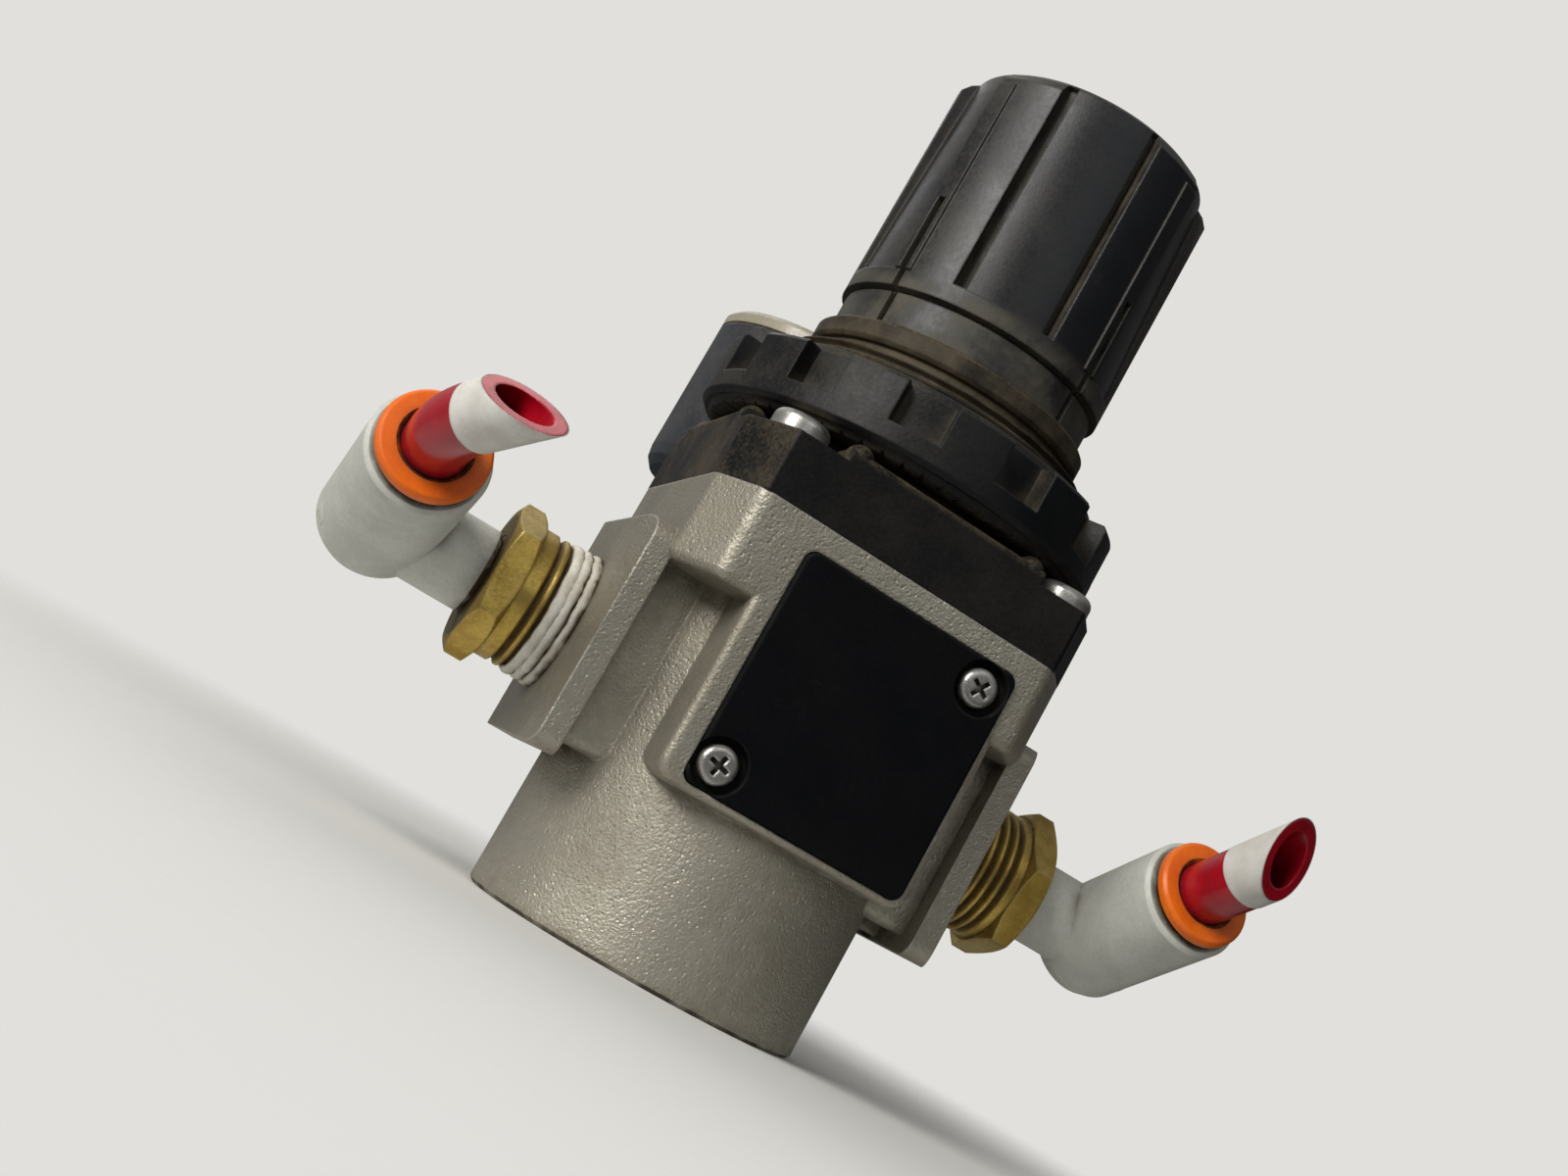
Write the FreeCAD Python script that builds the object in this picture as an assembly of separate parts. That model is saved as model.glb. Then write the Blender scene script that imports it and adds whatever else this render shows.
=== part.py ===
"""Panel-mount air pressure regulator with a pull-to-turn knob, two push-in elbows and a pressure gauge.

Frame: millimetres, +Z up along the knob's axis, origin at the centre of the flat base, ports along X,
cover plate towards -Y, gauge towards +Y. Every piece is written to parts/NODE.step in its place.
"""
import FreeCAD, Part
import math
import os

V = FreeCAD.Vector
X_AXIS = V(1, 0, 0)
Y_AXIS = V(0, 1, 0)
Z_AXIS = V(0, 0, 1)

# Body casting
SKIRT_R = 27.7
SEAM_Z = 67.5                # joint between the casting and the bonnet
BLOCK_X = 30.8               # half width of the square upper block along X
BLOCK_Y = 30.7               # half width of the square upper block along Y
BLOCK_Z = 53.5               # underside of the square upper block
BLOCK_CORNER = (25.2, 21.5)  # where the cut-off corners start along X and along Y
PORT_Z = 39.8
PORT_FACE_X = 35.0
PORT_BORE_R = 10.75
CHAMBER_R = 14.0
SEAT_Z = 36.0
SEAT_R = 6.5
GUIDE_R = 3.2
DIAPHRAGM_CHAMBER_R = 25.0
DIAPHRAGM_RIM_R = 28.0
SCREW_X = 23.7               # bonnet screw positions
SCREW_Y = 24.0

# Square cover plate on the front
PLATE_X = 2.6
PLATE_Z = 45.5
PLATE_W = 36.4
PLATE_FRONT_Y = -31.5
PLATE_THICK = 3.0
PLATE_SCREWS = ((-14.4, -14.2), (13.6, 14.0))   # from the plate's centre

# Bonnet, panel nut and knob
BONNET_TOP_Z = 79.3
SCREW_FLOOR_Z = 77.2
NECK_R = 26.0
NECK_TOP_Z = 96.5
COLLAR_R = 23.8
COLLAR_TOP_Z = 102.2
SPRING_CAVITY_R = 18.0
NUT_R = 34.0
NUT_Z = 81.8
NUT_TOP_Z = 92.2
NUT_POCKETS = 12
NUT_POCKET_TURN = -19.2      # azimuth of the first pocket
KNOB_TURN = -14.0            # azimuth of the knob's wide recess
KNOB_Z = 102.5
BAND_Z = 108.2
KNOB_R = 22.9
KNOB_TOP_Z = 151.0

# Regulating parts
STEM_R = 3.12
VALVE_TRAVEL = 1.2
SCREW_R = 5.0
SEAT_NUT_Z = 86.0

# Pipe threads, bushes and push-in elbows
NPT_PITCH = 1.81
NPT_R = 10.65
HEX_AF = 22.2
ARM_R = 6.75
BARREL_R = 9.0
BARREL_RIM = 24.65           # along the barrel from the arm's axis
RING_FACE = 27.65
RING_R = 8.1
TUBE_R = 4.765
TUBE_BORE_R = 3.3
TUBE_START = 29.5            # where the inlet tube's bend starts
TUBE_BEND_R = 28.0
TUBE_BEND = 22.0
TUBE_TAIL = 9.5              # straight run from the bend to the middle of the cut end
TUBE_RIGHT_END = 45.6        # middle of the outlet tube's cut end
BAND_THICK = 0.12
CUT_LEFT = V(-0.18, 0.62, 0.77)    # direction the slanting cut faces, in the barrel's own frame
CUT_RIGHT = V(0.39, -0.59, 0.71)
SIDES = {
    "left": {"sign": -1, "hex_in": 44.8, "hex_out": 49.3, "centre": 66.2, "tilt": 20.5, "hex_turn": 35.8},
    "right": {"sign": 1, "hex_in": 45.6, "hex_out": 50.1, "centre": 67.0, "tilt": 27.2, "hex_turn": 16.1},
}

# Gauge behind the bonnet
GAUGE_X = -6.9
GAUGE_Y = 56.6
GAUGE_R = 21.25
GAUGE_Z = 77.0
GAUGE_CASE_TOP = 107.5
GAUGE_TOP = 110.5
GEAR_MODULE = 0.4
PINION_TEETH = 10
SECTOR_TEETH = 60            # of the full circle the sector is cut from


def box(x0, x1, y0, y1, z0, z1):
    """Box between two corners."""
    return Part.makeBox(x1 - x0, y1 - y0, z1 - z0, V(x0, y0, z0))


def rounded_box(x0, x1, y0, y1, z0, z1, radius, axis):
    """Box whose four edges along one axis are rounded."""
    solid = box(x0, x1, y0, y1, z0, z1)
    edges = [e for e in solid.Edges if abs(e.tangentAt(e.FirstParameter).dot(axis)) > 0.99]
    return solid.makeFillet(radius, edges)


def rod(radius, z0, z1, x=0.0, y=0.0):
    """Cylinder along Z."""
    return Part.makeCylinder(radius, z1 - z0, V(x, y, z0))


def rod_x(radius, x0, x1, y, z):
    """Cylinder along X."""
    return Part.makeCylinder(radius, x1 - x0, V(x0, y, z), X_AXIS)


def rod_y(radius, y0, y1, x, z):
    """Cylinder along Y."""
    return Part.makeCylinder(radius, y1 - y0, V(x, y0, z), Y_AXIS)


def pipe(outer, inner, z0, z1, x=0.0, y=0.0):
    """Straight ring along Z."""
    return rod(outer, z0, z1, x, y).cut(rod(inner, z0 - 1, z1 + 1, x, y))


def turned(profile, angle=360.0, start=0.0):
    """Closed (radius, height) profile turned about Z, from the direction start."""
    corners = [V(r, 0, z) for r, z in profile]
    face = Part.Face(Part.makePolygon(corners + corners[:1]))
    solid = face.revolve(V(0, 0, 0), Z_AXIS, angle)
    solid.rotate(V(0, 0, 0), Z_AXIS, start)
    return solid


def prism(points, z0, z1):
    """Closed (x, y) outline extruded along Z."""
    corners = [V(x, y, z0) for x, y in points]
    return Part.Face(Part.makePolygon(corners + corners[:1])).extrude(V(0, 0, z1 - z0))


def hexagon(across_flats, z0, z1, turn=0.0):
    """Hexagonal prism along Z."""
    radius = across_flats / math.sqrt(3.0)
    angles = [math.radians(turn + 60 * k) for k in range(6)]
    return prism([(radius * math.cos(a), radius * math.sin(a)) for a in angles], z0, z1)


def grooves(radius, depth, pitch, z0, z1):
    """V grooves around a shaft, for its thread form."""
    cuts = []
    for k in range(int((z1 - z0) / pitch)):
        low = z0 + k * pitch
        cuts.append(turned([(radius - depth, low + pitch / 2), (radius + 0.2, low + 0.1),
                            (radius + 0.2, low + pitch - 0.1)]))
    return Part.makeCompound(cuts)


def coil(radius, wire_r, z0, z1, turns):
    """Open compression spring between two heights, wire centres inside by one wire radius."""
    low, high = z0 + wire_r, z1 - wire_r
    helix = Part.makeHelix((high - low) / turns, high - low, radius)
    helix.translate(V(0, 0, low))
    circle = Part.Wire(Part.makeCircle(wire_r, V(radius, 0, low), Y_AXIS))
    return Part.Wire(helix).makePipeShell([circle], True, True)


def o_ring(radius, wire_r, z):
    """Round-section ring about Z."""
    return Part.makeTorus(radius, wire_r, V(0, 0, z))


def laid_on_x(solid, sign, z=0.0):
    """Solid built along Z, laid along +X or -X at a height."""
    solid = solid.copy()
    solid.rotate(V(0, 0, 0), Y_AXIS, 90 * sign)
    solid.translate(V(0, 0, z))
    return solid


def azimuth(solid, angle):
    """Solid built towards +X, turned to an azimuth counted from -Y towards +X."""
    solid = solid.copy()
    solid.rotate(V(0, 0, 0), Z_AXIS, angle - 90)
    return solid


def phillips(radius, depth, z_top):
    """Cross recess of a pan head, cut down from its top."""
    arm = box(-radius, radius, -0.35, 0.35, z_top - depth, z_top + 1)
    cross = arm.copy()
    cross.rotate(V(0, 0, 0), Z_AXIS, 90)
    return arm.fuse(cross)


def pan_screw(head_r, head_h, shank_r, length):
    """Pan-head screw with its head's underside at z 0."""
    head = rod(head_r, 0, head_h)
    rim = [e for e in head.Edges if e.CenterOfMass.z > head_h - 0.01]
    head = head.makeFillet(head_h * 0.45, rim)
    shank = rod(shank_r, -length, 0).cut(grooves(shank_r, 0.25, 0.7, -length + 0.5, -length * 0.35))
    return head.fuse(shank).cut(phillips(head_r * 0.55, head_h * 0.6, head_h))


def square_block(z0, z1, radius):
    """Square block with cut-off corners whose upright edges are rounded."""
    x, y = BLOCK_CORNER
    outline = [(BLOCK_X, -y), (BLOCK_X, y), (x, BLOCK_Y), (-x, BLOCK_Y), (-BLOCK_X, y), (-BLOCK_X, -y),
               (-x, -BLOCK_Y), (x, -BLOCK_Y)]
    block = prism(outline, z0, z1)
    upright = [e for e in block.Edges if abs(e.tangentAt(e.FirstParameter).z) > 0.99]
    return block.makeFillet(radius, upright)


def make_body_casting():
    skirt = rod(SKIRT_R, 0, 60)
    rim = [e for e in skirt.Edges if e.CenterOfMass.z < 0.01 and e.Length > 100]
    skirt = skirt.makeChamfer(0.6, rim)
    block = square_block(BLOCK_Z, SEAM_Z, 2.6)
    under = [e for e in block.Edges if e.CenterOfMass.z < BLOCK_Z + 0.01]
    block = block.makeFillet(1.5, under)
    front = rounded_box(-19.3, 22.3, -BLOCK_Y, 0, 26, 64, 3.0, Y_AXIS)
    face = [e for e in front.Edges if e.CenterOfMass.y < -BLOCK_Y + 0.01]
    front = front.makeFillet(1.2, face)
    back = rounded_box(-21, 19, 0, BLOCK_Y, 26, 64, 3.0, Y_AXIS)
    face = [e for e in back.Edges if e.CenterOfMass.y > BLOCK_Y - 0.01]
    back = back.makeFillet(1.2, face)
    solid = skirt.fuse([block, front, back])
    plan = [(30, -20.4), (33.8, -20.4), (35, -15.5), (35, 15.5), (33.8, 20.4), (30, 20.4)]
    for sign in (-1, 1):
        flange = rounded_box(28.5, 36, -20.4, 20.4, 21.5, 58.2, 3.0, X_AXIS)
        flange = flange.common(prism(plan, 20, 60))
        neck = rounded_box(0, 31, -16, 16, 24, 56, 2.0, X_AXIS)
        gusset = Part.Face(Part.makePolygon([V(24, 0, 24), V(31, 0, 24), V(31, 0, 21.8), V(24, 0, 24)]))
        gusset = gusset.extrude(V(0, 14, 0))
        gusset.translate(V(0, -7, 0))
        arm = flange.fuse([neck, gusset])
        if sign < 0:
            arm.rotate(V(0, 0, 0), Z_AXIS, 180)
        solid = solid.fuse(arm)
    half = PLATE_W / 2 + 0.15
    pocket = rounded_box(PLATE_X - half, PLATE_X + half, PLATE_FRONT_Y + PLATE_THICK - 3, PLATE_FRONT_Y + PLATE_THICK,
                         PLATE_Z - half, PLATE_Z + half, 1.8, Y_AXIS)
    cuts = [
        pocket,
        rod_y(9.0, -29, -26, PLATE_X, PLATE_Z),
        rod_y(1.5, -27, -10, PLATE_X, 47),
        rod(24.2, -1, 8),
        rod(CHAMBER_R, 7, SEAT_Z),
        rod(SEAT_R, SEAT_Z - 1, 45),
        rod(CHAMBER_R, 44, 52),
        box(-24, -8, -7, 7, 29.5, 35.5),
        box(8, 24, -7, 7, 44.5, 50),
        rod(GUIDE_R, 50, 57),
        rod(1.2, 50, 57, 9.5),
        rod(DIAPHRAGM_CHAMBER_R, 56, SEAM_Z + 1),
        rod(DIAPHRAGM_RIM_R, 66, SEAM_Z + 1),
        rod_y(6.7, 20, 40, GAUGE_X, PORT_Z),
        rod_y(0.9, 8, 21, GAUGE_X, 45.3),
        laid_on_x(rod(PORT_BORE_R, 21, 40), 1, PORT_Z),
        laid_on_x(rod(PORT_BORE_R, 21, 40), -1, PORT_Z),
    ]
    for dx, dz in PLATE_SCREWS:
        cuts.append(rod_y(1.55, -30, -22, PLATE_X + dx, PLATE_Z + dz))
    for x in (-SCREW_X, SCREW_X):
        for y in (-SCREW_Y, SCREW_Y):
            cuts.append(rod(2.05, 56, SEAM_Z + 1, x, y))
    for cut in cuts:
        solid = solid.cut(cut)
    return solid


def make_cover_plate():
    half = PLATE_W / 2
    back_y = PLATE_FRONT_Y + PLATE_THICK
    plate = rounded_box(PLATE_X - half, PLATE_X + half, PLATE_FRONT_Y, back_y,
                        PLATE_Z - half, PLATE_Z + half, 1.8, Y_AXIS)
    face = [e for e in plate.Edges if e.CenterOfMass.y < PLATE_FRONT_Y + 0.01]
    plate = plate.makeFillet(0.5, face)
    for dx, dz in PLATE_SCREWS:
        plate = plate.cut(rod_y(4.15, PLATE_FRONT_Y - 1, PLATE_FRONT_Y + 2.0, PLATE_X + dx, PLATE_Z + dz))
        plate = plate.cut(rod_y(1.7, PLATE_FRONT_Y, back_y + 1, PLATE_X + dx, PLATE_Z + dz))
    return plate


def make_cover_plate_screws():
    screws = []
    for dx, dz in PLATE_SCREWS:
        screw = pan_screw(2.9, 1.85, 1.5, 7.0)
        screw.rotate(V(0, 0, 0), Z_AXIS, 25 + 9 * dx)
        screw.rotate(V(0, 0, 0), X_AXIS, 90)
        screw.translate(V(PLATE_X + dx, PLATE_FRONT_Y + 2.0, PLATE_Z + dz))
        screws.append(screw)
    return Part.makeCompound(screws)


def make_cover_plate_seal():
    return rod_y(8.8, -28.45, -26.05, PLATE_X, PLATE_Z).cut(rod_y(4.0, -27.4, -25, PLATE_X, PLATE_Z))


def make_bottom_plug():
    plug = rod(24.0, 0, 7.9).fuse(rod(13.85, 7, 22)).cut(grooves(13.85, 0.6, 1.5, 8.4, 15.0))
    plug = plug.cut(pipe(15, 12.2, 17.4, 20.4)).cut(rod(4.75, 10, 23)).cut(pipe(9.6, 6.0, 18, 23))
    for x in (-15, 15):
        plug = plug.cut(rod(2.0, -1, 5, x))
    return plug


def make_valve_poppet():
    head = turned([(0, 29.5), (10.5, 29.5), (11.5, 30.5), (11.5, 35.9), (9.6, 35.9), (9.6, 33.4), (0, 33.4)])
    guide = rod(4.65, 13, 30).cut(rod(2.0, 12, 20))
    stem = rod(STEM_R, 33, 58.3)
    tip = [e for e in stem.Edges if e.CenterOfMass.z > 58.2]
    return head.fuse([guide, stem.makeChamfer(1.0, tip)])


def make_diaphragm():
    return turned([(4.1, 62.5), (17.5, 62.5), (18.6, 61.6), (20.4, 61.2), (22.2, 61.9), (23.0, 64.2),
                   (24.0, 66.05), (27.9, 66.05), (27.9, 67.45), (23.2, 67.45), (21.9, 64.9),
                   (21.2, 62.9), (20.2, 62.5), (19.2, 62.9), (18.0, 64.0), (4.1, 64.0)])


def make_diaphragm_upper_plate():
    return turned([(4.05, 64.05), (17.0, 64.05), (17.0, 66.0), (8.2, 66.0), (7.6, 68.4), (4.05, 68.4)])


def make_relief_seat():
    return turned([(1.2, 58.4), (4.0, 58.4), (6.0, 60.4), (16.0, 60.4), (16.0, 62.45), (4.0, 62.45),
                   (4.0, 69.0), (1.2, 69.0)])


def make_spring_seat():
    hub = turned([(5.1, 85.0), (9.0, 85.0), (9.8, SEAT_NUT_Z), (16.8, SEAT_NUT_Z), (16.8, 89.0), (9.5, 92.0),
                  (5.1, 92.0)])
    ears = box(-19.6, 19.6, -2.3, 2.3, SEAT_NUT_Z, 89.0).cut(rod(12, 80, 95))
    return hub.fuse(ears)


def make_adjusting_screw():
    shaft = rod(SCREW_R, 71, 93.6).cut(grooves(SCREW_R, 0.8, 1.5, 71.5, 92.5))
    flange = rod(10.0, 93.5, 95.9)
    journal = rod(5.95, 95.5, 103.5)
    drive = hexagon(9.6, 103, 126)
    return shaft.fuse([flange, journal, drive])


def make_bonnet():
    block = square_block(SEAM_Z, BONNET_TOP_Z, 0.8)
    upper = [e for e in block.Edges if e.CenterOfMass.z > BONNET_TOP_Z - 0.01]
    block = block.makeFillet(1.2, upper)
    humps = []
    for sx in (-1, 1):
        for sy in (-1, 1):
            recess = prism([(sx * 17.0, sy * 17.0), (sx * 45, sy * 15.0), (sx * 45, sy * 45), (sx * 17.0, sy * 45)],
                           SCREW_FLOOR_Z, 85)
            block = block.cut(recess)
            for x, y in ((15.2, 28.3), (28.4, 13.0)):
                ridge = rod(2.3, 72, 78.4, sx * x, sy * y)
                humps.append(ridge.fuse(Part.makeSphere(2.3, V(sx * x, sy * y, 78.4))))
    neck = rod(NECK_R, 72, NECK_TOP_Z).cut(grooves(NECK_R, 0.9, 1.5, 80.0, NECK_TOP_Z))
    waist = rod(22.6, NECK_TOP_Z - 1, COLLAR_TOP_Z)
    collar = turned([(20, 98.7), (23.3, 98.7), (COLLAR_R, 99.3), (COLLAR_R, 101.7), (23.3, COLLAR_TOP_Z),
                     (20, COLLAR_TOP_Z)])
    solid = block.fuse(humps + [neck, waist, collar])
    cuts = [
        rod(24.0, SEAM_Z - 1, 71),
        turned([(0, 70.9), (24.0, 70.9), (SPRING_CAVITY_R, 75), (SPRING_CAVITY_R, 97), (0, 97)]),
        box(-20.2, 20.2, -2.6, 2.6, 74, 97),
        rod(6.02, 96, 104),
        rod_x(0.8, 15, 40, 0, 73),
    ]
    for x in (-SCREW_X, SCREW_X):
        for y in (-SCREW_Y, SCREW_Y):
            cuts.append(rod(2.3, 66, 79, x, y))
    for cut in cuts:
        solid = solid.cut(cut)
    return solid


def make_bonnet_screws():
    screws = []
    turn = 12
    for x in (-SCREW_X, SCREW_X):
        for y in (-SCREW_Y, SCREW_Y):
            screw = pan_screw(4.5, 3.1, 2.0, 19.5)
            screw.rotate(V(0, 0, 0), Z_AXIS, turn)
            screw.translate(V(x, y, SCREW_FLOOR_Z))
            screws.append(screw)
            turn += 37
    return Part.makeCompound(screws)


def make_panel_nut():
    nut = turned([(26.1, 80.9), (31.8, 80.9), (32.4, NUT_Z), (33.2, NUT_Z), (NUT_R, NUT_Z + 0.8),
                  (NUT_R, NUT_TOP_Z - 0.6), (NUT_R - 0.6, NUT_TOP_Z), (30.0, NUT_TOP_Z), (29.4, 93.6),
                  (26.1, 93.6)])
    teeth = []
    for k in range(60):
        tooth = Part.Face(Part.makePolygon([V(27.5, -0.5, 80.8), V(27.5, 0.5, 80.8), V(27.5, 0, 81.5),
                                            V(27.5, -0.5, 80.8)])).extrude(V(6, 0, 0))
        tooth.rotate(V(0, 0, 0), Z_AXIS, 6 * k)
        teeth.append(tooth)
    nut = nut.cut(Part.makeCompound(teeth))
    pocket = turned([(30.5, 85.3), (36, 85.3), (36, 95), (30.5, 95)], 14.1, -7.05)
    pockets = [azimuth(pocket, NUT_POCKET_TURN + k * 360 / NUT_POCKETS) for k in range(NUT_POCKETS)]
    return nut.cut(Part.makeCompound(pockets))


def knob_sector(profile, low, high):
    """Part-turned tool between two angles from the knob's own centre line."""
    return azimuth(turned(profile, high - low, low), KNOB_TURN)


def make_knob():
    solid = turned([(0, KNOB_Z), (22.0, KNOB_Z), (22.0, BAND_Z - 0.4), (21.3, BAND_Z - 0.4),
                    (21.3, BAND_Z), (KNOB_R, BAND_Z + 0.3), (KNOB_R, 146.8), (21.8, 148.3), (20.0, 149.6),
                    (17.0, 150.4), (10.0, 150.8), (0, KNOB_TOP_Z)])
    strips = []
    slits = []
    for centre in (-135, -45, 45, 135):
        strips.append(knob_sector([(20, 111.5), (23.3, 111.5), (23.3, 145.6), (20, 147)],
                                  centre - 4.0, centre + 4.0))
        slits.append(knob_sector([(17, KNOB_Z - 1), (26, KNOB_Z - 1), (26, 124.4), (17, 124.4)],
                                 centre - 1.65, centre + 1.65))
    solid = solid.fuse(strips)
    wide = [(21.6, 111.5), (30, 111.5), (30, 152), (21.2, 152), (21.6, 146.0)]
    groove = [(20.0, 111.5), (30, 111.5), (30, 152), (20.0, 148.6)]
    side = [(22.1, 111.5), (30, 111.5), (30, 152), (20.3, 152), (20.9, 146.0)]
    panels = []
    for centre in (0, 180):
        panels.append(knob_sector(wide, centre - 22, centre + 22))
        panels.append(knob_sector(groove, centre - 22, centre - 17.2))
        panels.append(knob_sector(groove, centre + 18.4, centre + 22))
    for centre in (90, 270):
        panels.append(knob_sector(side, centre - 41.0, centre - 9.0))
        panels.append(knob_sector(side, centre + 9.0, centre + 41.0))
    cavity = rod(19.1, KNOB_Z - 1, 146).cut(rod(9.0, KNOB_Z - 1, 147))
    socket = hexagon(9.8, KNOB_Z - 1, 130)
    clearance = rod(7.0, KNOB_Z - 1, 104.5)
    return solid.cut(Part.makeCompound(panels)).cut(Part.makeCompound(slits)).cut(cavity).cut(socket).cut(clearance)


def make_bush(side):
    hex_in, hex_out = side["hex_in"], side["hex_out"]
    head = hexagon(HEX_AF, hex_in, hex_out, 0)
    radius = HEX_AF / math.sqrt(3.0)
    mid = (hex_in + hex_out) / 2
    crown = turned([(0, hex_in), (HEX_AF / 2, hex_in), (radius + 0.1, hex_in + 0.9), (radius + 0.1, mid),
                    (radius + 0.1, hex_out - 0.9), (HEX_AF / 2, hex_out), (0, hex_out)])
    shank = rod(NPT_R, 24, hex_in + 0.2).cut(grooves(NPT_R, 0.9, NPT_PITCH, 24.6, hex_in - 0.4))
    bush = head.common(crown).fuse(shank).cut(rod(6.65, 20, 60))
    return on_port(turn_hex(bush, side), side)


def turn_hex(solid, side):
    """Hexagon turned so that one corner is at its angle from -Y towards +Z once laid along X."""
    solid = solid.copy()
    solid.rotate(V(0, 0, 0), Z_AXIS, -90 - side["hex_turn"] if side["sign"] > 0 else 90 + side["hex_turn"] + 180)
    return solid


def on_port(solid, side):
    """Solid built along Z, laid outwards along the port."""
    return laid_on_x(solid, side["sign"], PORT_Z)


def make_elbow_stud(side):
    face = side["hex_out"]
    stud = rod(6.6, 36, face - 0.1).cut(grooves(6.6, 0.5, 1.3, 36.6, face - 0.6))
    journal = turned([(0, face - 1), (4.8, face - 1), (4.8, face + 4.2), (3.9, face + 4.2), (3.9, face + 6.6),
                      (4.8, face + 6.6), (4.8, face + 10.6), (0, face + 10.6)])
    return on_port(stud.fuse(journal).cut(rod(2.8, 30, 70)), side)


def make_elbow_oring(side):
    return on_port(o_ring(4.4, 0.46, side["hex_out"] + 5.4), side)


def on_barrel(solid, side):
    """Solid built along Z from the arm's axis, tilted into its place on the elbow."""
    solid = solid.copy()
    solid.rotate(V(0, 0, 0), X_AXIS, 90 - side["tilt"])
    solid.translate(V(side["sign"] * side["centre"], 0, PORT_Z))
    return solid


def make_elbow_body(side):
    face, centre = side["hex_out"], side["centre"]
    arm = on_port(turned([(0, face + 0.3), (6.2, face + 0.3), (ARM_R, face + 0.9), (ARM_R, centre + 5.2),
                          (ARM_R - 0.7, centre + 6.8), (ARM_R - 2.4, centre + 8.2), (0, centre + 8.4)]), side)
    barrel = on_barrel(turned([(0, -6.3), (6.0, -6.1), (8.0, -5.0), (BARREL_R, -2.6),
                               (BARREL_R, BARREL_RIM - 0.6), (BARREL_R - 0.6, BARREL_RIM), (0, BARREL_RIM)]), side)
    solid = arm.fuse(barrel)
    solid = solid.cut(on_port(rod(4.87, face - 1, face + 10.9), side))
    solid = solid.cut(on_port(rod(2.8, face + 10, centre + 1), side))
    bore = turned([(0, -4), (3.4, -4), (3.4, 7), (TUBE_R + 0.08, 7), (TUBE_R + 0.08, 8.5), (7.1, 8.5), (7.1, 26),
                   (0, 26)])
    return solid.cut(on_barrel(bore, side))


def make_collet(side):
    ring = turned([(5.2, 11.4), (7.0, 11.4), (7.0, 13.4), (6.2, 13.4), (5.05, 14.6), (4.85, 14.3), (5.2, 13.4)])
    slots = [box(0, 9, -0.4, 0.4, 12.6, 16) for _ in range(8)]
    for k, slot in enumerate(slots):
        slot.rotate(V(0, 0, 0), Z_AXIS, 45 * k)
    return on_barrel(ring.cut(Part.makeCompound(slots)), side)


def make_tube_seal(side):
    return on_barrel(o_ring(5.88, 1.08, 9.8), side)


def make_release_ring(side):
    ring = turned([(4.85, 15.6), (6.3, 15.6), (6.8, 16.6), (6.8, 23.4), (6.0, 23.8), (6.0, 26.0), (RING_R, 26.0),
                   (RING_R, 27.2), (RING_R - 0.45, RING_FACE), (5.5, RING_FACE), (4.85, 27.1)])
    return on_barrel(ring, side)


def cut_end(solid, point, normal):
    """Solid cut off by a slanting plane, keeping what lies behind it."""
    half_space = box(-40, 40, -40, 40, 0, 80)
    half_space.rotate(V(0, 0, 0), Z_AXIS.cross(normal), math.degrees(Z_AXIS.getAngle(normal)))
    half_space.translate(point)
    return solid.cut(half_space)


def past_bend(solid):
    """Solid built along Z from the origin, moved to the end of the inlet tube's bend."""
    solid = solid.copy()
    solid.translate(V(0, 0, TUBE_START))
    solid.rotate(V(TUBE_BEND_R, 0, TUBE_START), Y_AXIS, TUBE_BEND)
    return solid


def cut_left(solid):
    """Solid cut off where the inlet tube ends."""
    angle = math.radians(TUBE_BEND)
    x = TUBE_BEND_R * (1 - math.cos(angle)) + TUBE_TAIL * math.sin(angle)
    z = TUBE_START + TUBE_BEND_R * math.sin(angle) + TUBE_TAIL * math.cos(angle)
    return cut_end(solid, V(x, 0, z), CUT_LEFT)


def ring_bend(outer, inner):
    """Ring section turned round the inlet tube's bend."""
    solids = []
    for radius in (outer, inner):
        disc = Part.Face(Part.Wire(Part.makeCircle(radius, V(0, 0, TUBE_START))))
        solids.append(disc.revolve(V(TUBE_BEND_R, 0, TUBE_START), Y_AXIS, TUBE_BEND))
    return solids[0].cut(solids[1])


def make_tube_left(side):
    straight = pipe(TUBE_R, TUBE_BORE_R, 7.2, TUBE_START)
    tail = past_bend(pipe(TUBE_R, TUBE_BORE_R, 0, TUBE_TAIL + 9))
    return on_barrel(cut_left(straight.fuse(ring_bend(TUBE_R, TUBE_BORE_R)).fuse(tail)), side)


def make_tube_band_left(side):
    return on_barrel(cut_left(past_bend(pipe(TUBE_R + BAND_THICK, TUBE_R + 0.02, 0.3, TUBE_TAIL + 9))), side)


def make_tube_right(side):
    return on_barrel(cut_end(pipe(TUBE_R, TUBE_BORE_R, 7.2, 56.0), V(0, 0, TUBE_RIGHT_END), CUT_RIGHT), side)


def make_tube_band_right(side):
    band = pipe(TUBE_R + BAND_THICK, TUBE_R + 0.02, TUBE_RIGHT_END - 8.6, 56.0)
    return on_barrel(cut_end(band, V(0, 0, TUBE_RIGHT_END), CUT_RIGHT), side)


def at_gauge(solid):
    """Solid built about the Z axis, moved to the gauge's own axis."""
    solid = solid.copy()
    solid.translate(V(GAUGE_X, GAUGE_Y, 0))
    return solid


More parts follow.
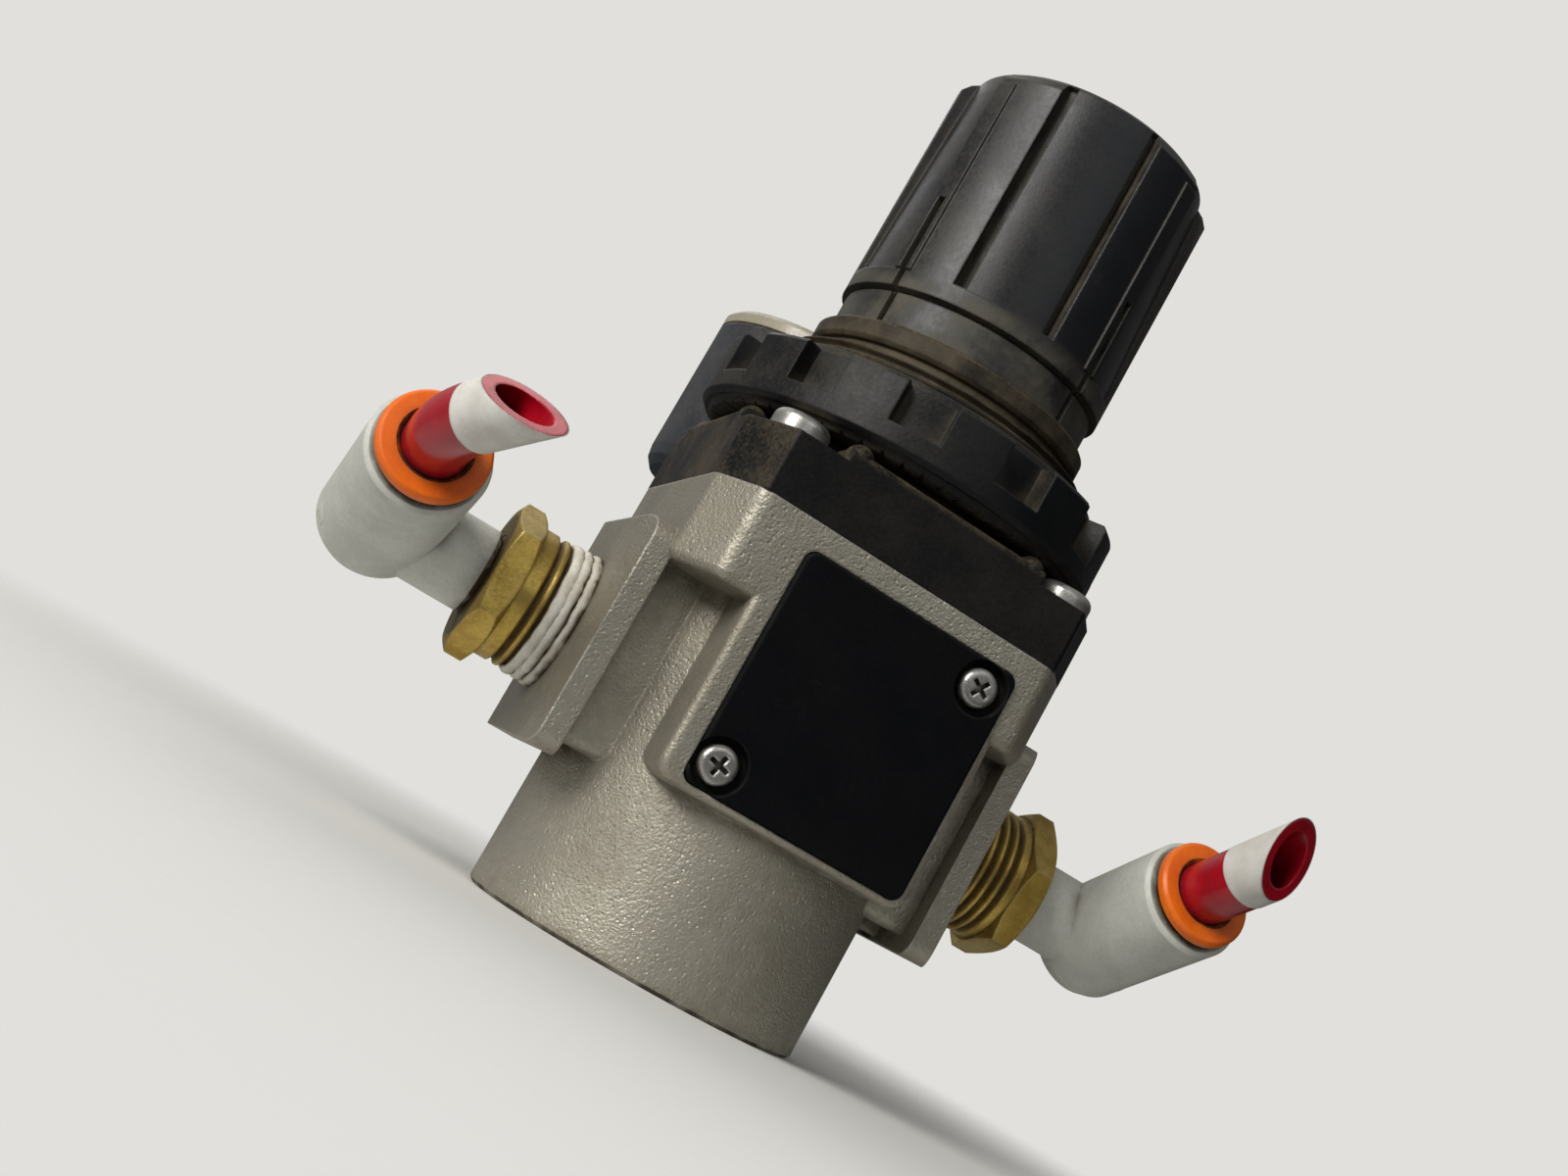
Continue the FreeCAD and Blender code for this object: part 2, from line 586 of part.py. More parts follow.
def make_gauge_elbow():
    thread = rod(6.6, 21, 32).cut(grooves(6.6, 0.6, 1.41, 21.4, 30.4))
    thread.rotate(V(0, 0, 0), X_AXIS, -90)
    thread.translate(V(GAUGE_X, 0, PORT_Z))
    arm = rod_y(7.6, 31, GAUGE_Y, GAUGE_X, PORT_Z)
    corner = Part.makeSphere(7.6, V(GAUGE_X, GAUGE_Y, PORT_Z))
    riser = at_gauge(rod(7.6, PORT_Z, 56).fuse(rod(9.2, 53, 62)))
    solid = thread.fuse([arm, corner, riser])
    solid = solid.cut(rod_y(3.0, 20, GAUGE_Y, GAUGE_X, PORT_Z))
    return solid.cut(at_gauge(rod(3.0, PORT_Z, 56))).cut(at_gauge(rod(6.2, 51, 63)))


def make_gauge_socket():
    thread = rod(6.15, 52.5, 62.5).cut(grooves(6.15, 0.5, 1.3, 52.9, 61.8))
    stem = thread.fuse([hexagon(14, 62.4, 72), rod(5.4, 71, 84)])
    block = box(-13.5, -3.5, -3.0, 3.0, 82, 92).fuse(box(-8, 8, -4.5, 4.5, 80, 84))
    return at_gauge(stem.fuse(block).cut(rod(1.5, 50, 81.5)))


def make_gauge_case():
    outer = turned([(0, GAUGE_Z), (17.5, GAUGE_Z), (19.7, GAUGE_Z + 0.8), (20.9, GAUGE_Z + 2.4),
                    (GAUGE_R, GAUGE_Z + 4.5), (GAUGE_R, GAUGE_CASE_TOP - 0.4), (20.9, GAUGE_CASE_TOP),
                    (0, GAUGE_CASE_TOP)])
    return at_gauge(outer.cut(rod(19.6, GAUGE_Z + 2, GAUGE_CASE_TOP + 1)).cut(rod(5.5, GAUGE_Z - 1, GAUGE_Z + 3)))


def make_gauge_lens():
    outer = turned([(0, GAUGE_CASE_TOP + 0.05), (GAUGE_R, GAUGE_CASE_TOP + 0.05), (GAUGE_R, GAUGE_TOP - 1.2),
                    (20.4, GAUGE_TOP - 0.3), (19.0, GAUGE_TOP), (0, GAUGE_TOP)])
    skirt = pipe(19.5, 18.6, 105.2, GAUGE_CASE_TOP + 0.5)
    return at_gauge(outer.cut(rod(18.6, GAUGE_CASE_TOP - 1, GAUGE_TOP - 1.4)).fuse(skirt))


def make_gauge_dial():
    return at_gauge(pipe(18.4, 1.5, 104.0, 104.7).fuse(pipe(19.5, 18.0, 104.0, 105.1)))


def gear(teeth, z0, z1, span=None):
    """Gear or sector with straight-sided teeth, thinned for running clearance."""
    pitch_r = GEAR_MODULE * teeth / 2
    count = teeth if span is None else span
    root = rod(pitch_r - 1.35 * GEAR_MODULE, z0, z1)
    step = 360.0 / teeth
    solids = []
    for k in range(count):
        centre = math.radians((k - (count - 1) / 2) * step)
        outline = []
        for radius, half in ((pitch_r - 1.5 * GEAR_MODULE, 0.46), (pitch_r, 0.33), (pitch_r + 0.8 * GEAR_MODULE, 0.12)):
            outline.append((radius, half * math.pi * GEAR_MODULE / 2))
        points = [(r, h) for r, h in outline] + [(r, -h) for r, h in reversed(outline)]
        turned_points = [(r * math.cos(centre) - h * math.sin(centre), r * math.sin(centre) + h * math.cos(centre))
                         for r, h in points]
        solids.append(prism(turned_points, z0, z1))
    return root, solids


def make_gauge_pinion():
    root, teeth = gear(PINION_TEETH, 98.0, 101.0)
    arbor = rod(0.9, 95.2, 106.6)
    solid = root.fuse(teeth + [arbor])
    solid.rotate(V(0, 0, 0), Z_AXIS, 180.0 / PINION_TEETH)
    return at_gauge(solid)


def sector_pivot():
    """Distance of the sector's pivot from the gauge's axis, towards +X."""
    return GEAR_MODULE * (PINION_TEETH + SECTOR_TEETH) / 2


def make_gauge_sector():
    root, teeth = gear(SECTOR_TEETH, 98.6, 100.2, 13)
    reach = GEAR_MODULE * SECTOR_TEETH / 2
    edge = math.radians(43)
    wedge = prism([(0, 0), (2 * reach * math.cos(edge), -2 * reach * math.sin(edge)),
                   (2 * reach * math.cos(edge), 2 * reach * math.sin(edge))], 98.6, 100.2)
    solid = root.common(wedge).cut(rod(0.6 * reach, 98, 101, 2.2).common(wedge).common(rod(0.8 * reach, 98, 101)))
    hub = rod(2.0, 96.6, 102.4)
    spoke = box(0, 0.9 * reach, -1.0, 1.0, 98.6, 100.2)
    solid = solid.fuse(teeth + [hub, spoke]).cut(rod(0.95, 90, 110))
    solid.rotate(V(0, 0, 0), Z_AXIS, 180 - 3.5 * 360 / SECTOR_TEETH)
    solid.translate(V(sector_pivot(), 0, 0))
    return at_gauge(solid)


def make_gauge_movement():
    pivot = sector_pivot()
    plates = []
    for z0 in (94.0, 102.6):
        plate = rounded_box(-4.5, pivot + 3.0, -4.5, 4.5, z0, z0 + 1.0, 2.0, Z_AXIS)
        plates.append(plate.cut(rod(1.0, 90, 110)))
    posts = [rod(1.1, 92, 103, -3.2, 3.2), rod(1.1, 92, 103, -3.2, -3.2)]
    axle = rod(0.85, 94.5, 103, pivot)
    foot = rod(2.6, 84.2, 94.5, 0, 0)
    return at_gauge(plates[0].fuse([plates[1], axle, foot] + posts))


def make_gauge_bourdon_tube():
    """Flattened tube bent round three quarters of a turn inside the case."""
    section = Part.Face(Part.makePolygon([V(15.2, 0, 84.6), V(16.8, 0, 84.6), V(17.4, 0, 87.5), V(16.8, 0, 90.4),
                                          V(15.2, 0, 90.4), V(14.6, 0, 87.5), V(15.2, 0, 84.6)]))
    tube = section.revolve(V(0, 0, 0), Z_AXIS, 250)
    tube.rotate(V(0, 0, 0), Z_AXIS, 188)
    return at_gauge(tube)


def make_gauge_pointer():
    blade = prism([(-5.0, -0.9), (0, -0.6), (15.5, -0.2), (15.5, 0.2), (0, 0.6), (-5.0, 0.9)], 105.6, 106.1)
    hub = pipe(2.2, 0.92, 105.4, 106.6)
    solid = blade.cut(rod(0.92, 100, 110)).fuse(hub)
    solid.rotate(V(0, 0, 0), Z_AXIS, 225)
    return at_gauge(solid)


left = SIDES["left"]
right = SIDES["right"]
pieces = {
    "body_casting": make_body_casting(),
    "cover_plate": make_cover_plate(),
    "cover_plate_screws": make_cover_plate_screws(),
    "cover_plate_seal": make_cover_plate_seal(),
    "bottom_plug": make_bottom_plug(),
    "bottom_plug_oring": o_ring(13.1, 0.85, 18.9),
    "valve_spring": coil(7.8, 0.8, 18.05, 29.45, 4.5),
    "valve_poppet": make_valve_poppet(),
    "valve_disc": pipe(9.5, STEM_R + 0.02, 33.45, 35.95),
    "diaphragm": make_diaphragm(),
    "diaphragm_upper_plate": make_diaphragm_upper_plate(),
    "relief_seat": make_relief_seat(),
    "adjusting_spring": coil(12.6, 1.5, 66.05, SEAT_NUT_Z - 0.05, 4.5),
    "spring_seat": make_spring_seat(),
    "adjusting_screw": make_adjusting_screw(),
    "thrust_washer": pipe(10.0, 6.1, 95.95, 96.95),
    "bonnet": make_bonnet(),
    "bonnet_screws": make_bonnet_screws(),
    "panel_nut": make_panel_nut(),
    "knob": make_knob(),
    "thread_tape_left": on_port(pipe(11.0, NPT_R + 0.02, 35.1, 40.2), left),
    "tube_left": make_tube_left(left),
    "tube_band_left": make_tube_band_left(left),
    "tube_right": make_tube_right(right),
    "tube_band_right": make_tube_band_right(right),
    "gauge_elbow": make_gauge_elbow(),
    "gauge_socket": make_gauge_socket(),
    "gauge_case": make_gauge_case(),
    "gauge_lens": make_gauge_lens(),
    "gauge_dial": make_gauge_dial(),
    "gauge_pinion": make_gauge_pinion(),
    "gauge_sector": make_gauge_sector(),
    "gauge_movement": make_gauge_movement(),
    "gauge_bourdon_tube": make_gauge_bourdon_tube(),
    "gauge_pointer": make_gauge_pointer(),
}
for name, side in SIDES.items():
    pieces["reducing_bush_" + name] = make_bush(side)
    pieces["elbow_stud_" + name] = make_elbow_stud(side)
    pieces["elbow_oring_" + name] = make_elbow_oring(side)
    pieces["elbow_body_" + name] = make_elbow_body(side)
    pieces["collet_" + name] = make_collet(side)
    pieces["tube_seal_" + name] = make_tube_seal(side)
    pieces["release_ring_" + name] = make_release_ring(side)

os.makedirs("parts", exist_ok=True)
for name, shape in pieces.items():
    shape.exportStep("parts/" + name + ".step")
print(len(pieces), "pieces written")
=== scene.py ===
"""Looks of a panel-mount air pressure regulator: finishes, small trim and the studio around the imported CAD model."""

from __future__ import annotations

import logging
import math
from collections.abc import Callable
from dataclasses import dataclass, field
from enum import Enum
from typing import Union

import bpy
from mathutils import Matrix, Vector


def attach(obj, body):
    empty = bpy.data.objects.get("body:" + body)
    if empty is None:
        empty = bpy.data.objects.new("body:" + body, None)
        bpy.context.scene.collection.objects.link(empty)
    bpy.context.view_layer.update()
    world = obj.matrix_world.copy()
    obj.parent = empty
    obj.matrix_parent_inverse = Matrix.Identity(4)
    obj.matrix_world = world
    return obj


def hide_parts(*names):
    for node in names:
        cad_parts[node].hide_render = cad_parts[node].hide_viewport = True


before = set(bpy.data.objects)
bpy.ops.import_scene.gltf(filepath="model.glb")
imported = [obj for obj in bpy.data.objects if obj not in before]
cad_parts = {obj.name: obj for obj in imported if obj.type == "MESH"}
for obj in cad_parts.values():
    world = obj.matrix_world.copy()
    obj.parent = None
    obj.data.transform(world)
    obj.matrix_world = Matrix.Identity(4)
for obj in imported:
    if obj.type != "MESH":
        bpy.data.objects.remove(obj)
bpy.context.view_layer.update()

log = logging.getLogger("regulator")
MM = 0.001
RGB = tuple[float, float, float]
Feed = Union[float, RGB, bpy.types.NodeSocket]

WEAR_ROUNDING = 0.5 * MM
# Ambient occlusion reach for the grime, which also paints shade into corners, grooves and gaps.
GRIME_AND_SHADE_REACH = 4.0 * MM
# Lean of the dust mask: up, and towards the key light on the inlet side, so the dust is also painted light on lit
# faces.
DUST_AND_LIGHT_LEAN = (-0.55, -0.22, 0.80)
SCRATCH_RUNS = (((0.5, 0.9, 0.2), (1.0, 14.0, 1.6)), ((1.1, -0.4, 0.9), (11.0, 1.0, 1.4)))
DIRT_ROUGHNESS = 0.92
DUST_HEIGHT = 0.5
SCRATCH_DEPTH = 0.4
COAT_ROUGHNESS = 0.15
SUBSURFACE_REACH = 2.0 * MM
PLASTIC_IOR = 1.48


def srgb(red: int, green: int, blue: int) -> RGB:
    """Screen colour as linear light.

    Args:
        red: Red from 0 to 255.
        green: Green from 0 to 255.
        blue: Blue from 0 to 255.

    Returns:
        The linear colour.
    """
    parts = [value / 255.0 for value in (red, green, blue)]
    linear = [p / 12.92 if p <= 0.04045 else ((p + 0.055) / 1.055) ** 2.4 for p in parts]
    return linear[0], linear[1], linear[2]


class Effect(Enum):
    """Shader effects that several finishes share."""

    BLOTCHES = "blotches"
    GRAIN = "grain"
    EDGE_WEAR = "edge_wear"
    # Dust also paints lit faces lighter; grime also paints shade, from ambient occlusion.
    DUST_AND_LIT_SIDE = "settled_dust"
    GRIME_AND_SHADE = "grime_and_shade_in_corners"
    SCRATCHES = "scratches"


class Sheet:
    """A node tree being drawn, with short ways to add and join nodes."""

    def __init__(self, tree: bpy.types.NodeTree) -> None:
        """Keeps the tree.

        Args:
            tree: Node tree of a material, a world or a group.
        """
        self.tree = tree

    def add(self, kind: str, values: dict | None = None, **settings: object) -> bpy.types.Node:
        """Adds a node.

        Args:
            kind: The node's type name without its ShaderNode prefix, or a full type name.
            values: Input name or number to a constant, or to a socket that feeds it.
            settings: Properties of the node itself.

        Returns:
            The new node.
        """
        full = kind if kind.startswith("Node") else "ShaderNode" + kind
        node = self.tree.nodes.new(full)
        for name, value in settings.items():
            setattr(node, name, value)
        for key, value in (values or {}).items():
            if isinstance(value, bpy.types.NodeSocket):
                self.tree.links.new(value, node.inputs[key])
            else:
                node.inputs[key].default_value = value
        return node

    def math(self, operation: str, first: Feed, second: Feed = 0.5, clamp: bool = False) -> bpy.types.NodeSocket:
        """Adds a Math node and gives its result.

        Args:
            operation: Name of the operation.
            first: Number or socket.
            second: Number or socket.
            clamp: Whether the result is held between 0 and 1.

        Returns:
            The result socket.
        """
        return self.add("Math", {0: first, 1: second}, operation=operation, use_clamp=clamp).outputs[0]

    def ramp(self, value: Feed, low: float, high: float) -> bpy.types.NodeSocket:
        """Smooth step from 0 at low to 1 at high.

        Args:
            value: Socket to map.
            low: Value that gives 0.
            high: Value that gives 1.

        Returns:
            The mapped socket.
        """
        node = self.add("MapRange", {"Value": value, "From Min": low, "From Max": high},
                        interpolation_type="SMOOTHSTEP", clamp=True)
        return node.outputs["Result"]

    def mix(self, share: Feed, first: Feed, second: Feed) -> bpy.types.NodeSocket:
        """Blends two colours.

        Args:
            share: Share of the second colour.
            first: Colour or socket.
            second: Colour or socket.

        Returns:
            The blended colour socket.
        """
        node = self.add("Mix", data_type="RGBA")
        for index, value in ((0, share), (6, first), (7, second)):
            if isinstance(value, bpy.types.NodeSocket):
                self.tree.links.new(value, node.inputs[index])
            elif index == 0:
                node.inputs[index].default_value = value
            else:
                node.inputs[index].default_value = (*value[:3], 1.0)
        return node.outputs[2]

    def noise(self, where: Feed, scale: Feed, detail: float = 4.0,
              roughness: float = 0.55) -> bpy.types.NodeSocket:
        """Adds a Noise texture.

        Args:
            where: Coordinate socket.
            scale: Number or socket, per metre.
            detail: Octaves.
            roughness: Strength of the finer octaves.

        Returns:
            The grey value socket.
        """
        node = self.add("TexNoise", {"Vector": where, "Scale": scale, "Detail": detail, "Roughness": roughness})
        return node.outputs[0]


class EffectLibrary:
    """Builds each shared effect once, as a shader node group with named sockets."""

    def __init__(self) -> None:
        """Starts with no group built."""
        self.groups: dict[Effect, bpy.types.NodeTree] = {}

    def group(self, effect: Effect) -> bpy.types.NodeTree:
        """Gives an effect's group, built on first use.

        Args:
            effect: The effect wanted.

        Returns:
            Its node group.
        """
        if effect not in self.groups:
            builders = {
                Effect.BLOTCHES: self.build_blotches,
                Effect.GRAIN: self.build_grain,
                Effect.EDGE_WEAR: self.build_edge_wear,
                Effect.DUST_AND_LIT_SIDE: self.build_dust_and_lit_side,
                Effect.GRIME_AND_SHADE: self.build_grime_and_shade,
                Effect.SCRATCHES: self.build_scratches,
            }
            self.groups[effect] = builders[effect]()
        return self.groups[effect]

    def start(self, effect: Effect, inputs: dict[str, float | RGB],
              outputs: dict[str, str]) -> tuple[Sheet, bpy.types.Node, bpy.types.Node]:
        """Makes an empty group with its sockets.

        Args:
            effect: The effect, which names the group.
            inputs: Input name to its default number or colour.
            outputs: Output name to its socket type.

        Returns:
            The drawing sheet, the group's input node and its output node.
        """
        tree = bpy.data.node_groups.new(effect.value, "ShaderNodeTree")
        for name, default in inputs.items():
            kind = "NodeSocketColor" if isinstance(default, tuple) else "NodeSocketFloat"
            socket = tree.interface.new_socket(name, in_out="INPUT", socket_type=kind)
            socket.default_value = (*default, 1.0) if isinstance(default, tuple) else default
        for name, kind in outputs.items():
            tree.interface.new_socket(name, in_out="OUTPUT", socket_type=kind)
        sheet = Sheet(tree)
        return sheet, sheet.add("NodeGroupInput"), sheet.add("NodeGroupOutput")

    def build_blotches(self) -> bpy.types.NodeTree:
        """Slow drift between two colours with a finer mottle over it.

        Returns:
            The group.
        """
        sheet, given, out = self.start(
            Effect.BLOTCHES, {"First": (0.5, 0.5, 0.5), "Second": (0.4, 0.4, 0.4), "Scale": 60.0},
            {"Color": "NodeSocketColor", "Value": "NodeSocketFloat"})
        where = sheet.add("TexCoord").outputs["Object"]
        slow = sheet.noise(where, given.outputs["Scale"], 6.0, 0.6)
        fine = sheet.noise(where, sheet.math("MULTIPLY", given.outputs["Scale"], 14.0), 3.0)
        both = sheet.math("ADD", sheet.math("MULTIPLY", slow, 0.72), sheet.math("MULTIPLY", fine, 0.28))
        share = sheet.ramp(both, 0.36, 0.64)
        colour = sheet.mix(share, given.outputs["First"], given.outputs["Second"])
        sheet.tree.links.new(colour, out.inputs["Color"])
        sheet.tree.links.new(share, out.inputs["Value"])
        return sheet.tree

    def build_grain(self) -> bpy.types.NodeTree:
        """Raised grain with scattered pits, as a height.

        Returns:
            The group.
        """
        sheet, given, out = self.start(Effect.GRAIN, {"Scale": 1500.0, "Pits": 0.3},
                                       {"Height": "NodeSocketFloat"})
        where = sheet.add("TexCoord").outputs["Object"]
        bumps = sheet.noise(where, given.outputs["Scale"], 3.0, 0.6)
        cells = sheet.add("TexVoronoi", {"Vector": where,
                                         "Scale": sheet.math("MULTIPLY", given.outputs["Scale"], 0.45)})
        pits = sheet.math("SUBTRACT", 1.0, sheet.ramp(cells.outputs["Distance"], 0.05, 0.35))
        sunk = sheet.math("MULTIPLY", pits, given.outputs["Pits"])
        sheet.tree.links.new(sheet.math("SUBTRACT", bumps, sunk), out.inputs["Height"])
        return sheet.tree

    def build_edge_wear(self) -> bpy.types.NodeTree:
        """Rubbed corners: a patchy mask along edges, and the softened normal they have.

        Returns:
            The group.
        """
        sheet, given, out = self.start(Effect.EDGE_WEAR, {"Amount": 0.5, "Scale": 300.0},
                                       {"Mask": "NodeSocketFloat", "Normal": "NodeSocketVector"})
        soft = sheet.add("Bevel", {"Radius": WEAR_ROUNDING}, samples=4)
        flat = sheet.add("NewGeometry").outputs["Normal"]
        facing = sheet.add("VectorMath", {0: soft.outputs[0], 1: flat}, operation="DOT_PRODUCT").outputs["Value"]
        edge = sheet.math("SUBTRACT", 1.0, sheet.ramp(facing, 0.90, 0.995))
        where = sheet.add("TexCoord").outputs["Object"]
        patches = sheet.ramp(sheet.noise(where, given.outputs["Scale"], 5.0, 0.65), 0.42, 0.62)
        worn = sheet.math("MULTIPLY", edge, sheet.math("ADD", 0.25, sheet.math("MULTIPLY", patches, 0.75)))
        sheet.tree.links.new(sheet.math("MULTIPLY", worn, given.outputs["Amount"], True), out.inputs["Mask"])
        sheet.tree.links.new(soft.outputs[0], out.inputs["Normal"])
        return sheet.tree

    def build_dust_and_lit_side(self) -> bpy.types.NodeTree:
        """Dust that lies thicker on faces turned up, with painted light on faces turned towards the key light on the
        inlet side.

        Returns:
            The group.
        """
        sheet, given, out = self.start(Effect.DUST_AND_LIT_SIDE, {"Amount": 0.5, "Scale": 120.0, "Spread": 0.5},
                                       {"Mask": "NodeSocketFloat"})
        coord = sheet.add("TexCoord")
        lean = sheet.add("VectorMath", {0: coord.outputs["Normal"], 1: DUST_AND_LIGHT_LEAN},
                         operation="DOT_PRODUCT").outputs["Value"]
        turned = sheet.math("ADD", lean, given.outputs["Spread"])
        clouds = sheet.noise(coord.outputs["Object"], given.outputs["Scale"], 7.0, 0.68)
        specks = sheet.noise(coord.outputs["Object"], sheet.math("MULTIPLY", given.outputs["Scale"], 22.0), 2.0)
        pattern = sheet.math("ADD", sheet.math("MULTIPLY", clouds, 0.75), sheet.math("MULTIPLY", specks, 0.35))
        dust_and_lit = sheet.math("MULTIPLY", sheet.ramp(turned, 0.0, 1.25), sheet.ramp(pattern, 0.40, 0.72))
        sheet.tree.links.new(sheet.math("MULTIPLY", dust_and_lit, given.outputs["Amount"], True), out.inputs["Mask"])
        return sheet.tree

    def build_grime_and_shade(self) -> bpy.types.NodeTree:
        """Dirt packed into corners and grooves, with painted shade: the mask follows ambient occlusion, so it darkens
        where shade falls.

        Returns:
            The group.
        """
        sheet, given, out = self.start(Effect.GRIME_AND_SHADE, {"Amount": 0.5, "Scale": 220.0},
                                       {"Mask": "NodeSocketFloat"})
        hollow = sheet.add("AmbientOcclusion", {"Distance": GRIME_AND_SHADE_REACH}, samples=6)
        packed_and_shaded = sheet.math("SUBTRACT", 1.0, sheet.ramp(hollow.outputs["AO"], 0.25, 0.85))
        where = sheet.add("TexCoord").outputs["Object"]
        patches = sheet.ramp(sheet.noise(where, given.outputs["Scale"], 5.0, 0.6), 0.3, 0.65)
        amount = sheet.math("MULTIPLY", given.outputs["Amount"], sheet.math("ADD", 0.45, patches))
        sheet.tree.links.new(sheet.math("MULTIPLY", packed_and_shaded, amount, True), out.inputs["Mask"])
        return sheet.tree

    def build_scratches(self) -> bpy.types.NodeTree:
        """Fine handling scratches that run two ways.

        Returns:
            The group.
        """
        sheet, given, out = self.start(Effect.SCRATCHES, {"Amount": 0.5, "Scale": 90.0},
                                       {"Mask": "NodeSocketFloat"})
        where = sheet.add("TexCoord").outputs["Object"]
        lines = []
        for turn, squash in SCRATCH_RUNS:
            along = sheet.add("Mapping", {"Vector": where, "Rotation": turn, "Scale": squash})
            thin = sheet.noise(along.outputs[0], sheet.math("MULTIPLY", given.outputs["Scale"], 1.6), 2.0, 0.5)
            lines.append(sheet.math("SUBTRACT", 1.0, sheet.ramp(
                sheet.math("ABSOLUTE", sheet.math("SUBTRACT", thin, 0.5)), 0.0, 0.006)))
        patches = sheet.ramp(sheet.noise(where, given.outputs["Scale"], 3.0), 0.48, 0.66)
        both = sheet.math("MULTIPLY", sheet.math("MAXIMUM", lines[0], lines[1]), patches)
        sheet.tree.links.new(sheet.math("MULTIPLY", both, given.outputs["Amount"], True), out.inputs["Mask"])
        return sheet.tree


